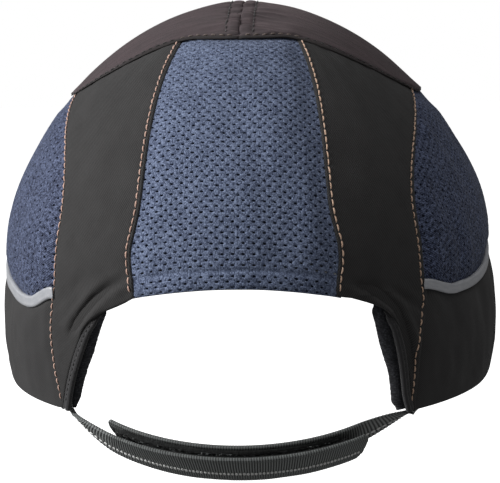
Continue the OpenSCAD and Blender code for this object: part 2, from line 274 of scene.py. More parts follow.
def sheet_mesh(outer, inner, bulge=0.35):
    """Vertices, faces and the grid index of each vertex for a closed sheet with rounded edges."""
    rows, cols = outer.shape[:2]
    n = rows * cols
    edge = [(0, j) for j in range(cols)] + [(i, cols - 1) for i in range(1, rows)]
    edge += [(rows - 1, j) for j in range(cols - 2, -1, -1)] + [(i, 0) for i in range(rows - 2, 0, -1)]
    e = np.array([i * cols + j for i, j in edge])
    inside = np.array([min(max(i, 1), rows - 2) * cols + min(max(j, 1), cols - 2) for i, j in edge])
    po, pi = outer.reshape(-1, 3), inner.reshape(-1, 3)
    thick = np.linalg.norm(po[e] - pi[e], axis=1, keepdims=True)
    rim = (po[e] + pi[e]) / 2 + unit(po[e] - po[inside]) * thick * bulge
    m = len(e)
    k, k1 = np.arange(m), (np.arange(m) + 1) % m
    over = grid_quads(rows, cols)
    faces = [
        over,
        over[:, ::-1] + n,
        np.stack([e[k], e[k1], 2 * n + k1, 2 * n + k], -1),
        np.stack([2 * n + k, 2 * n + k1, n + e[k1], n + e[k]], -1),
    ]
    index = np.concatenate([np.arange(n), np.arange(n), e])
    return np.concatenate([po, pi, rim]), [np.concatenate(faces)], index


def normals(P):
    """Outward unit normals of a grid whose rows run down and whose columns run to the right."""
    down, right = np.gradient(P, axis=0), np.gradient(P, axis=1)
    n = np.cross(down, right)
    weak = np.linalg.norm(n, axis=-1) < 1e-9
    n = unit(n)
    if weak.any():
        n[weak] = unit(P[weak] * [1, 1, 1.2])
    return n


def lengths(P):
    """Distances in mm across (from the middle column) and down a grid."""
    du = np.linalg.norm(np.diff(P, axis=1), axis=-1)
    dv = np.linalg.norm(np.diff(P, axis=0), axis=-1)
    u = np.concatenate([np.zeros((P.shape[0], 1)), np.cumsum(du, 1)], 1)
    v = np.concatenate([np.zeros((1, P.shape[1])), np.cumsum(dv, 0)], 0)
    return u - u[:, [P.shape[1] // 2]], v


surfaces = {}
flat_sizes = {}


class Panel:
    """A grid on the cap with its normals, cloth coordinates and distances to its four edges."""

    def __init__(self, A, Q):
        self.A, self.Q = A, Q
        self.P = cap_point(A, Q)
        self.Z = self.P[..., 2]
        self.N = normals(self.P)
        self.u, self.v = lengths(self.P)
        P = self.P
        self.left, self.right = far_from(P, P[:, 0]), far_from(P, P[:, -1])
        self.top, self.bottom = far_from(P, P[0]), far_from(P, P[-1])

    def near(self, *names):
        return np.min([getattr(self, n) for n in names], axis=0)

    def build(self, name, side, height, depth, material, lip_shade=0.0, bulge=0.35):
        outer = self.P + self.N * np.asarray(height)[..., None]
        inner = self.P - self.N * (np.zeros_like(self.u) + depth)[..., None]
        verts, faces, index = sheet_mesh(outer, inner, bulge)
        cloth = np.stack([self.u, self.v, self.u * 0 + lip_shade], -1).reshape(-1, 3)[index]
        ob = mesh_object(name, verts, faces, material, cloth, side)
        top = outer.reshape(-1, 3) * [side, 1, 1]
        quads = grid_quads(*outer.shape[:2])
        surfaces[name] = BVHTree.FromPolygons(top.tolist(), quads.tolist())
        cross = np.cross(outer[1:, :-1] - outer[:-1, :-1], outer[:-1, 1:] - outer[:-1, :-1])
        area = np.linalg.norm(cross, axis=-1).sum()
        wide = np.ptp(self.u, axis=1).max()
        long = np.ptp(self.v, axis=0).max()
        flat_sizes[name] = (wide, long, area)
        return ob


def settle(S, T, first, last, top, bottom, turns=40):
    A = mix(first(0.8), last(0.8), S)
    for _ in range(turns):
        Q = mix(top(A), bottom(A), T)
        A = (A + mix(first(Q), last(Q), S)) / 2
    return A, mix(top(A), bottom(A), T)


def seam_panel(s, t, first, last, top, bottom):
    S, T = np.meshgrid(s, t)
    return Panel(*settle(S, T, first, last, top, bottom))


def fold(d, depth, radius=1.0):
    """How far a folded edge rolls down, at a distance from it."""
    t = np.clip(1 - d / radius, 0, 1)
    return -depth * (1 - np.sqrt(np.maximum(1 - t * t, 0)))


def press(d, at, depth, width=0.6):
    return -depth * np.exp(-(((d - at) / width) ** 2))


# --- Materials -----------------------------------------------------------------------------------


class Paint:
    """A Principled material whose colour, roughness and bump come from procedural nodes."""

    def __init__(self, name, rough=0.85, **fixed):
        self.mat = bpy.data.materials.new(name)
        self.mat.use_nodes = True
        self.nt = self.mat.node_tree
        self.bsdf = self.nt.nodes["Principled BSDF"]
        self.bsdf.inputs["Roughness"].default_value = rough
        for key, value in fixed.items():
            self.bsdf.inputs[key.replace("_", " ")].default_value = value

    def node(self, kind, inputs=(), **props):
        n = self.nt.nodes.new("ShaderNode" + kind)
        for key, value in props.items():
            setattr(n, key, value)
        for key, value in dict(inputs).items():
            self.put(n.inputs[key], value)
        return n

    def put(self, socket, value):
        if hasattr(value, "is_output"):
            self.nt.links.new(value, socket)
        else:
            socket.default_value = value

    def math(self, op, a, b=0.0, c=0.0):
        n = self.node("Math", operation=op)
        for k, value in enumerate((a, b, c)):
            self.put(n.inputs[k], value)
        return n.outputs[0]

    def cloth(self):
        return self.node("Attribute", attribute_name="cloth").outputs["Vector"]

    def place(self):
        return self.node("TexCoord").outputs["Object"]

    def scaled(self, vec, scale, turn=0.0):
        n = self.node("Mapping", {"Vector": vec})
        n.inputs["Scale"].default_value = scale
        n.inputs["Rotation"].default_value = (0, 0, math.radians(turn))
        return n.outputs[0]

    def noise(self, vec, scale, detail=3.0, rough=0.55):
        n = self.node("TexNoise", {"Vector": vec, "Scale": scale, "Detail": detail, "Roughness": rough})
        return n.outputs["Fac"]

    def cells(self, vec, scale, random=1.0, out="Distance"):
        n = self.node("TexVoronoi", {"Vector": vec, "Scale": scale, "Randomness": random})
        return n.outputs[out]

    def sine(self, value, pitch, phase=0.0):
        """A wave from 0 to 1 with a period of pitch."""
        wave = self.math("SINE", self.math("MULTIPLY_ADD", value, 2 * math.pi / pitch, phase))
        return self.math("MULTIPLY_ADD", wave, 0.5, 0.5)

    def split(self, vec):
        return self.node("SeparateXYZ", {0: vec}).outputs

    def blend(self, fac, a, b):
        n = self.node("Mix", data_type="RGBA")
        self.put(n.inputs[0], fac)
        for socket, value in ((n.inputs[6], a), (n.inputs[7], b)):
            self.put(socket, (*value, 1.0) if isinstance(value, tuple) else value)
        return n.outputs[2]

    def ramp(self, fac, low, high, a=0.0, b=1.0):
        n = self.node("MapRange", {0: fac, 1: low, 2: high, 3: a, 4: b})
        return n.outputs[0]

    def finish(self, colour=None, rough=None, height=None, depth=0.1, strength=1.0):
        if colour is not None:
            self.put(
                self.bsdf.inputs["Base Color"], (*colour, 1.0) if isinstance(colour, tuple) else colour
            )
        if rough is not None:
            self.put(self.bsdf.inputs["Roughness"], rough)
        if height is not None:
            bump = self.node("Bump", {"Height": height, "Strength": strength, "Distance": depth * MM})
            self.put(self.bsdf.inputs["Normal"], bump.outputs[0])
        return self.mat


def shade(colour, k):
    return tuple(c * k for c in colour)


def twill(name, base, pitch=0.72, depth=0.13, lift=0.46, **fixed):
    """Diagonal twill: raised cords across the cloth, each broken into threads, with faint wear."""
    p = Paint(name, 0.88, Sheen_Weight=0.06, Sheen_Roughness=0.5, Specular_IOR_Level=0.2, **fixed)
    c = p.cloth()
    x, y, _ = p.split(c)
    wobble = p.math("MULTIPLY", p.noise(c, 0.35, 2.0), 0.5)
    line = p.math("ADD", p.math("MULTIPLY_ADD", x, 0.8, p.math("MULTIPLY", y, 0.6)), wobble)
    cord = p.sine(line, pitch)
    thread = p.sine(p.math("SUBTRACT", p.math("MULTIPLY", x, 0.6), p.math("MULTIPLY", y, 0.8)), 0.36)
    fibre = p.noise(p.scaled(c, (3.0, 0.7, 1), 37), 1.6, 3.0)
    body = p.math("MULTIPLY_ADD", thread, 0.22, p.math("MULTIPLY", cord, 0.7))
    cloud = p.ramp(p.noise(c, 0.09, 4.0), 0.3, 0.7)
    # The cords' tops are painted lighter, a painted highlight, and the hollows between cords darker, painted
    # shade; fibre noise and the cloud add random tone and faint wear.
    tone = p.math("MULTIPLY_ADD", fibre, 0.35, p.math("MULTIPLY", body, 0.75))
    dark, light = shade(base, 1 - lift * 1.3), shade(base, 1 + lift * 1.4)
    col = p.blend(p.math("MULTIPLY_ADD", cloud, 0.18, tone), dark, light)
    return p.finish(col, p.ramp(cord, 0, 1, 0.95, 0.8), body, depth)


def crown_paint():
    p = Paint("crown_cloth", 0.8, Sheen_Weight=0.10, Sheen_Roughness=0.4, Specular_IOR_Level=0.25)
    p.bsdf.inputs["Sheen Tint"].default_value = (1.0, 0.80, 0.82, 1)
    c = p.cloth()
    x, y, lip = p.split(c)
    weft = p.sine(y, 0.42)
    warp = p.sine(x, 0.36)
    weave = p.math("MULTIPLY_ADD", weft, 0.6, p.math("MULTIPLY", warp, 0.35))
    streak = p.noise(p.scaled(c, (0.06, 0.55, 1)), 1.0, 4.0)
    cloud = p.ramp(p.noise(c, 0.06, 4.0), 0.3, 0.7)
    fibre = p.noise(p.scaled(c, (0.8, 2.6, 1)), 1.3, 3.0)
    warm, cool = (0.074, 0.054, 0.058), (0.052, 0.047, 0.048)
    col = p.blend(cloud, cool, warm)
    tone = p.math(
        "MULTIPLY_ADD", weave, 0.35, p.math("MULTIPLY_ADD", streak, 0.5, p.math("MULTIPLY", fibre, 0.3))
    )
    col = p.blend(
        p.ramp(tone, 0.42, 0.64), p.blend(0.75, col, (0.02, 0.018, 0.019)),
        p.blend(0.35, col, (0.13, 0.095, 0.105))
    )
    # The sewn-down lip is painted darker, a painted shade for the pressed band that faces away from the
    # light.
    col = p.blend(lip, col, (0.024, 0.022, 0.022))
    return p.finish(col, p.ramp(streak, 0.3, 0.7, 0.86, 0.74), weave, 0.06)


def knit(name, light, dark, pitch=0.46, slant=0.0, **fixed):
    """Fine knit between the holes of the air mesh: loops in columns, each catching the light its own way."""
    p = Paint(name, 0.78, Sheen_Weight=0.08, Sheen_Roughness=0.5, Specular_IOR_Level=0.3, **fixed)
    c = p.scaled(p.cloth(), (1, 1, 0), slant)
    x = p.split(c)[0]
    loops = p.cells(p.scaled(c, (1 / pitch, 1 / (pitch * 1.12), 1)), 1.0, 0.55)
    pick = p.split(p.cells(p.scaled(c, (1 / pitch, 1 / (pitch * 1.12), 1)), 1.0, 0.55, "Color"))[0]
    wale = p.sine(p.math("ADD", x, p.math("MULTIPLY", p.noise(c, 0.8, 1.0), 0.12)), pitch)
    # Each loop is painted lighter in its middle, a painted highlight, and darker round its rim, painted
    # shade; each loop also gets a random brightness of its own.
    dome = p.ramp(loops, 0.62, 0.08)
    cloud = p.ramp(p.noise(c, 0.10, 4.0), 0.3, 0.7)
    tone = p.math(
        "MULTIPLY_ADD", dome, 0.5, p.math("MULTIPLY_ADD", pick, 0.42, p.math("MULTIPLY", wale, 0.2))
    )
    tone = p.math("MULTIPLY_ADD", cloud, 0.1, tone)
    col = p.blend(p.ramp(tone, 0.22, 1.0), dark, light)
    height = p.math("MULTIPLY_ADD", dome, 0.7, p.math("MULTIPLY", wale, 0.3))
    return p.finish(col, p.ramp(tone, 0.2, 1.0, 0.92, 0.68), height, 0.16)


def reflective_paint():
    """Silver retro-reflective cloth: a matt grey skin of tiny glass beads."""
    p = Paint(
        "reflective_piping", 0.46, Metallic=0.25, Specular_IOR_Level=0.5, Coat_Weight=0.12,
        Coat_Roughness=0.35
    )
    c = p.cloth()
    beads = p.cells(c, 5.5, 1.0)
    cloud = p.noise(c, 0.35, 4.0)
    wear = p.ramp(p.noise(p.scaled(c, (0.25, 0.9, 1)), 1.0, 4.0), 0.42, 0.62)
    col = p.blend(wear, (0.38, 0.395, 0.43), (0.46, 0.47, 0.50))
    col = p.blend(p.ramp(beads, 0.0, 0.6, 0.0, 0.35), col, (0.56, 0.565, 0.58))
    return p.finish(col, p.ramp(cloud, 0.3, 0.7, 0.40, 0.55), beads, 0.03, 0.6)


def tape_paint(name, base, pitch=0.5):
    p = Paint(name, 0.82, Sheen_Weight=0.25, Sheen_Roughness=0.5, Specular_IOR_Level=0.25)
    c = p.cloth()
    x, y, _ = p.split(c)
    rib = p.sine(y, pitch)
    thread = p.sine(x, 0.33)
    body = p.math("MULTIPLY_ADD", rib, 0.7, p.math("MULTIPLY", thread, 0.3))
    col = p.blend(
        p.math("MULTIPLY_ADD", p.noise(c, 1.5, 3.0), 0.5, p.math("MULTIPLY", body, 0.5)), shade(base, 0.6),
        shade(base, 1.5)
    )
    return p.finish(col, p.ramp(body, 0, 1, 0.92, 0.74), body, 0.08)


def thread_paint(name, base, dark):
    """Twisted two-ply sewing thread."""
    p = Paint(name, 0.55, Sheen_Weight=0.3, Sheen_Roughness=0.4, Specular_IOR_Level=0.45)
    c = p.cloth()
    x, y, tone = p.split(c)
    ply = p.sine(p.math("MULTIPLY_ADD", x, 1 / 0.55, y), 1.0)
    col = p.blend(p.math("MULTIPLY_ADD", ply, 0.55, p.math("MULTIPLY", tone, 0.45)), dark, base)
    return p.finish(col, p.ramp(ply, 0, 1, 0.7, 0.45), ply, 0.09)


def webbing_paint():
    p = Paint("strap_webbing", 0.62, Sheen_Weight=0.08, Sheen_Roughness=0.45, Specular_IOR_Level=0.4)
    c = p.cloth()
    _, y, high = p.split(c)
    yarn = p.sine(p.math("ADD", y, p.math("MULTIPLY", p.noise(c, 1.4, 2.0), 0.25)), 0.42)
    fibre = p.noise(p.scaled(c, (4.0, 1.0, 1)), 1.5, 3.0)
    # The third cloth channel carries the rib pattern: crests painted light grey, a painted highlight, and
    # grooves near black, painted shade; yarn and fibre noise add random tone.
    tone = p.math(
        "MULTIPLY_ADD", high, 0.62, p.math("MULTIPLY_ADD", yarn, 0.16, p.math("MULTIPLY", fibre, 0.3))
    )
    col = p.blend(p.ramp(tone, 0.3, 0.9), (0.003, 0.0034, 0.0034), (0.30, 0.32, 0.315))
    return p.finish(
        col, p.ramp(high, 0, 1, 0.8, 0.55),
        p.math("MULTIPLY_ADD", yarn, 0.5, p.math("MULTIPLY", fibre, 0.5)), 0.06
    )


def pile_paint(name, dark, light, scale=1.0, depth=0.3, rough=0.95):
    """Brushed or looped pile."""
    p = Paint(name, rough, Sheen_Weight=0.12, Sheen_Roughness=0.6, Specular_IOR_Level=0.15)
    c = p.cloth()
    tuft = p.cells(c, 1.3 * scale, 1.0)
    fluff = p.noise(c, 2.4 * scale, 4.0, 0.7)
    tone = p.math("MULTIPLY_ADD", fluff, 0.8, p.math("MULTIPLY", p.ramp(tuft, 0.7, 0.0), 0.5))
    col = p.blend(p.ramp(tone, 0.25, 1.0), dark, light)
    return p.finish(col, None, tone, depth)


def moulded_paint(name, base, rough, grain=60.0, depth=0.05, **fixed):
    p = Paint(name, rough, **fixed)
    at = p.scaled(p.place(), (1000, 1000, 1000))
    fine = p.noise(at, grain / 20, 3.0)
    cloud = p.ramp(p.noise(at, 0.05, 4.0), 0.3, 0.7)
    scuff = p.ramp(p.noise(p.scaled(at, (0.2, 1.4, 0.5)), 0.6, 5.0), 0.55, 0.75)
    col = p.blend(cloud, shade(base, 0.85), shade(base, 1.15))
    col = p.blend(p.math("MULTIPLY", scuff, 0.25), col, shade(base, 1.7))
    return p.finish(col, p.ramp(scuff, 0, 1, rough, min(rough + 0.15, 1)), fine, depth)


def foam_paint():
    p = Paint("eva_foam", 0.9, Specular_IOR_Level=0.3)
    at = p.scaled(p.place(), (1000, 1000, 1000))
    bubbles = p.cells(at, 1.6, 1.0)
    fine = p.noise(at, 3.5, 3.0)
    col = p.blend(
        p.math("MULTIPLY_ADD", fine, 0.6, p.math("MULTIPLY", bubbles, 0.5)), (0.010, 0.010, 0.011),
        (0.036, 0.036, 0.038)
    )
    return p.finish(col, p.ramp(fine, 0.3, 0.7, 0.95, 0.8), p.math("ADD", bubbles, fine), 0.12)


def plain_fibre(name, base, rough=0.5):
    p = Paint(name, rough, Specular_IOR_Level=0.4)
    c = p.cloth()
    tone = p.split(c)[2]
    streak = p.noise(p.scaled(c, (1.0, 3.0, 1)), 2.0, 2.0)
    col = p.blend(
        p.math("MULTIPLY_ADD", streak, 0.4, p.math("MULTIPLY", tone, 0.6)), shade(base, 0.55),
        shade(base, 1.35)
    )
    return p.finish(col, p.ramp(streak, 0.3, 0.7, rough, rough + 0.12), streak, 0.03)


BLACK = (0.0350, 0.0340, 0.0341)
M = {
    "crown": crown_paint(),
    "twill": twill("black_twill", BLACK),
    "band": twill("black_twill_fine", (0.0390, 0.0380, 0.0384), pitch=0.66, depth=0.06, lift=0.34),
    "rear_knit": knit("mesh_fabric_rear", (0.285, 0.350, 0.520), (0.030, 0.042, 0.085)),
    "side_knit": knit("mesh_fabric_side", (0.150, 0.185, 0.310), (0.006, 0.010, 0.030), pitch=0.70,
    slant=38),
    "piping": reflective_paint(),
    "tape": tape_paint("binding_tape", (0.030, 0.029, 0.031)),
    "peach": thread_paint("thread_peach", (0.80, 0.54, 0.44), (0.56, 0.34, 0.26)),
    "tan": thread_paint("thread_tan", (0.80, 0.56, 0.42), (0.54, 0.35, 0.24)),
    "drab": thread_paint("thread_drab", (0.22, 0.17, 0.145), (0.06, 0.045, 0.038)),
    "dark_thread": thread_paint("thread_black", (0.030, 0.028, 0.028), (0.006, 0.006, 0.006)),
    "webbing": webbing_paint(),
    "white_thread": thread_paint("thread_white", (0.95, 0.95, 0.93), (0.72, 0.72, 0.71)),
    "fleece": pile_paint("fleece_pad", (0.0080, 0.0082, 0.0100), (0.095, 0.098, 0.115)),
    "terry": pile_paint("terry_sweatband", (0.0060, 0.0060, 0.0070), (0.040, 0.040, 0.044), 0.9, 0.4),
    "loops": pile_paint("loop_tape", (0.0020, 0.0022, 0.0022), (0.028, 0.030, 0.030), 1.6, 0.35),
    "hooks": plain_fibre("hook_tape", (0.020, 0.021, 0.021), 0.4),
    "curls": plain_fibre("loop_curls", (0.030, 0.032, 0.032), 0.45),
    "pale_curls": plain_fibre("loop_curls_light", (0.42, 0.44, 0.44), 0.45),
    "shell": moulded_paint("shell_plastic", (0.040, 0.056, 0.110), 0.42, Specular_IOR_Level=0.5),
    "board": moulded_paint("board_plastic", (0.58, 0.58, 0.56), 0.5),
    "foam": foam_paint(),
}
SIDES = {LEFT: "left", RIGHT: "right"}


def place_piece(ob, body, paint, *nodes):
    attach(ob, body)
    if nodes:
        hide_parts(*nodes)
    return ob


table_q = np.concatenate(
    [np.linspace(0.02, 1, 900), np.linspace(1.003, max(1.2, float(level_at(-60.0))), 200)]
)


def climb(angle):
    line = cap_point(angle, table_q)
    s = walk(line)
    return np.interp(1.0, table_q, s) - s


table_a = np.linspace(0, 180, 1441)
ring_arc = walk(cap_point(table_a, 1.0))
climb_back, climb_side = climb(0.0), climb(90.0)


def angle_from(arc):
    return np.sign(arc) * np.interp(np.abs(arc), ring_arc, table_a)


# --- Outer cloth ---------------------------------------------------------------------------------


def crown_top(a):
    return crown_level(a) - 0.023


def line_on(places, step=0.5, inset=0.0):
    """A line on the cap through [angle, z] places, in mm."""
    a, z = np.array(places, float).T
    t = np.linspace(0, len(a) - 1, 40 * len(a))
    k = np.arange(len(a))
    smooth = [np.interp(t, k, v) for v in (a, z)]
    for _ in range(60):
        smooth = [np.concatenate([v[:1], (v[:-2] + 2 * v[1:-1] + v[2:]) / 4, v[-1:]]) for v in smooth]
    return resample(cap_point(smooth[0], level_at(smooth[1]), inset), step)


def build_crown(side):
    s = spaced(250, 1.7)
    t = np.concatenate([[0.0, 0.012, 0.03], spaced(95, 0.62, near=(4.5, 5.2))])
    S, T = np.meshgrid(s * 180, t)
    g = Panel(S, T * lip_level(S))
    g.N = unit(g.P / np.array([HALF_W**2, MEAN_LONG**2, CROWN_H**2]))
    g.bottom = far_from(g.P, cap_point(np.linspace(0, 180, 400), lip_level(np.linspace(0, 180, 400))))
    x, y = g.P[..., 0], g.P[..., 1]
    seed = 11 if side == LEFT else 23
    back = ease(30, 4, x) * ease(-20, -42, y)
    pucker = noise(x / 13 + 3, y / 3.1, seed) * ease(24, 3, x) * ease(25, -20, y)
    pucker += 0.45 * noise(x / 9, y / 2.1, seed + 1) * ease(16, 2, x) * ease(10, -30, y)
    folds = noise(x / 34 + 7, y / 17, seed + 2) * 0.30 + noise(x / 17, y / 9, seed + 5) * 0.14
    near_lip = ease(11, 4.8, g.bottom)
    gather = (
        noise(g.A / 5.5, g.bottom / 40, seed + 3) * 0.22 * ease(16, 4, g.bottom) * ease(2.0, 3.6, g.bottom)
    )
    h = (
        0.30 + 0.95 * pucker + 1.3 * folds * ease(1, 8, g.bottom) + gather
        + 0.35 * back * noise(x / 7, y / 12, seed + 4)
    )
    lip = mix(0.72, 0.42, ease(42, 56, mirror_angle(np.abs(g.A)))) + 0.05 * noise(g.A / 3, 0, seed + 6)
    h = mix(h + 0.30 * ease(4.2, 5.8, g.bottom) * near_lip, lip, ease(5.6, 4.4, g.bottom))
    h += press(g.bottom, LIP_ROW, 0.36, 0.5) + press(g.bottom, 2.6, 0.16, 0.5) + fold(g.bottom, 0.55, 0.8)
    h += (
        fold(x, 0.85, 1.3) + press(x, 5.0, 0.28, 0.75) * ease(2, 8, g.bottom)
        + 0.12 * ease(5, 3, x) * ease(0.8, 2, x)
    )
    depth = mix(-0.1, 0.55, ease(5.6, 7.4, g.bottom))
    # How strongly the crown paint darkens the lip, a painted shade on the pressed band.
    lip_shade = ease(5.4, 4.4, g.bottom) * 0.95
    g.u, g.v = x + 0 * y, y
    name = "crown_panel_%s" % SIDES[side] + "_cloth"
    ob = g.build(name, side, h, depth, M["crown"], lip_shade)
    ob.location.x = side * 0.03 * MM
    merge_doubles(ob, 2e-5)
    place_piece(ob, "cap", "crown", "crown_panel_" + SIDES[side])
    flat_sizes[name] = (float(np.ptp(x)) * 1.45, float(np.ptp(y)) * 1.2, flat_sizes[name][2])


WRINKLES = {
    LEFT: [(21.5, 7), (24.8, 3.5), (28, 0), (31.2, -5), (34, -10.5), (36, -15), (37.4, -19.5)],
    RIGHT: [(26, 2), (30, -1.8), (33, -6), (35.3, -10.5), (36.6, -16.5), (37.2, -22), (37.8, -29),
    (38.2, -36)],
}


def rear_first(q, side):
    z = level_z(q)
    low = flap_angle(np.minimum(z, -ARCH_DROP), side) + 0.35
    return np.where(z > -ARCH_DROP, mesh_angle(q), np.maximum(low, mesh_angle(q) - 0.3))


def rear_last(q, side):
    return np.maximum(side_angle(q, side), rear_first(q, side) + 0.7)


def build_rear(side):
    t = spaced(CROWN_ARC, 1.25)
    t = np.unique(np.round(np.concatenate([t, np.linspace(0.645, 0.80, 52)]), 5))
    t = t[np.concatenate([[True], np.diff(t) > 0.0012])]
    s = spaced(30, 0.62, near=(0, 0.25, 0.5, 0.85, 1.25, 1.7, 2.2))
    first = lambda q: rear_first(q, side)
    last = lambda q: rear_last(q, side)
    g = seam_panel(s, t, first, last, crown_top, lambda a: level_at(hem_z(a)))
    seed = 31 if side == LEFT else 47
    x, z = g.A * 1.7, g.Z
    upper = ease(-6, 8, z)
    h = 0.06 + 0.34 * noise(x / 15, z / 38, seed) * ease(0, 7, g.near("left", "right")) * ease(3, 12, g.top)
    h += 0.16 * noise(x / 5.5 + z / 30, z / 26, seed + 1) * ease(1, 6, g.near("left", "right"))
    h += (
        0.07 * noise((x + z) / 2.6, (x - z) / 7.0, seed + 2) * ease(0, 4, g.near("left", "right", "bottom"))
    )
    puck = (
        noise(z / 2.4, x / 9, seed + 3) * 0.10
        * (np.exp(-((g.left / 4) ** 2)) * upper + np.exp(-((g.right / 4) ** 2)))
    )
    h += puck
    track = line_on(WRINKLES[side])
    d = far_from(g.P, track)
    deep = (
        ease(*((7, -2) if side == LEFT else (3, -3)), z)
        * ease(*((-21, -13) if side == LEFT else (-37, -28)), z)
    )
    h += -1.75 * deep * np.exp(-((d / 1.45) ** 2)) + 0.6 * deep * np.exp(-(((d - 3.2) / 1.7) ** 2))
    h += -0.5 * deep * np.exp(-(((d - 1.2) / 0.5) ** 2)) * (noise(z / 3, x / 5, seed + 8) > 0.1)
    if side == LEFT:
        for spots, amount, wide in (
            ([(31, 6), (36, 0), (42, -9)], -0.35, 2.2), ([(25, -4), (30, -9), (34, -18)], 0.45, 2.0)
        ):
            soft = far_from(g.P, line_on(spots))
            h += amount * np.exp(-((soft / wide) ** 2)) * ease(9, 2, z)
    else:
        for spots, amount, wide in (
            ([(30, 1), (37, -5), (43, -13)], -0.65, 1.7), ([(33, -9), (38, -16), (42, -30)], 0.45, 2.2)
        ):
            soft = far_from(g.P, line_on(spots))
            h += amount * np.exp(-((soft / wide) ** 2)) * ease(3, 0, z)
    g.u, g.v = ARC_PER_DEGREE * g.A * np.maximum(level_r(g.Q), 0.3), -np.interp(g.Q, table_q, climb_back)
    stitch = 1.7 if side == LEFT else 1.5
    h += press(g.left, stitch, 0.20, 0.6) * upper + press(g.right, 1.0 if side == LEFT else 2.3, 0.2, 0.6)
    h += fold(g.left, 0.55, 0.9) + fold(g.right, 0.5, 0.8) + fold(g.bottom, 0.6, 1.1)
    h -= 0.25 * ease(4.5, 2, g.top)
    depth = mix(0.55, 1.1, ease(5, 8, g.near("left", "right")))
    ob = g.build("rear_panel_%s_cloth" % SIDES[side], side, h, depth, M["twill"])
    place_piece(ob, "cap", "twill", "rear_panel_" + SIDES[side])


def build_band(side):
    s = spaced(150, 1.7)
    t = spaced(44, 1.3)
    first = lambda q: side_angle(q, side) - 1.7
    last = lambda q: front_angle(q) + 1.4
    g = seam_panel(
        s, t, first, last, lambda a: level_at(piping_z(a, side) + 0.6), lambda a: level_at(hem_z(a))
    )
    seed = 61 if side == LEFT else 73
    arc, z = g.A * 1.8, g.Z
    free = ease(0, 8, g.near("top", "bottom"))
    h = -0.25 + 0.75 * noise(arc / 12, z / 90, seed) * free + 0.42 * noise(arc / 5, z / 50, seed + 1) * free
    h += 0.20 * noise(arc / 3.4 + z / 9, z / 12, seed + 2) * free
    h += 0.35 * ease(0.5, 5, g.top) * ease(26, 8, g.top)
    h += -0.55 * ease(6, 3.2, g.left) + -0.5 * ease(5, 2.4, g.right) - 0.7 * ease(3.4, 2.0, g.top)
    h += 0.16 * ease(7.5, 6.5, g.bottom) + fold(g.bottom, 0.75, 1.5)
    ob = g.build("side_band_%s_cloth" % SIDES[side], side, h, 1.25, M["band"], bulge=0.5)
    place_piece(ob, "cap", "band", "side_band_" + SIDES[side])


def build_front():
    s = spaced(175, 1.8)
    t = spaced(118, 1.6)
    first = front_angle
    last = lambda q: 360 - front_angle(q)
    top = lambda a: crown_top(mirror_angle(a))
    g = seam_panel(s, t, first, last, top, lambda a: level_at(hem_z(mirror_angle(a))))
    edge = g.near("left", "right")
    arc, z = g.A * 1.9, g.Z
    h = 0.08 + (0.35 * noise(arc / 26, z / 40, 81) + 0.18 * noise(arc / 11, z / 16, 82)) * ease(0, 9, edge)
    h += (
        press(edge, 1.5, 0.2, 0.6) + fold(edge, 0.55, 0.9) + fold(g.bottom, 0.6, 1.2)
        - 0.25 * ease(4.5, 2, g.top)
    )
    depth = mix(0.55, 1.1, ease(5, 8, edge))
    ob = g.build("front_panel_cloth", RIGHT, h, depth, M["twill"])
    place_piece(ob, "cap", "twill", "front_panel")


# --- Air mesh ------------------------------------------------------------------------------------

CELL = [
    (2, 0), (2, 1), (1, 1), (0, 1), (-1, 1), (-2, 1), (-2, 0), (-2, -1), (-1, -1), (0, -1), (1, -1), (2, -1)
]


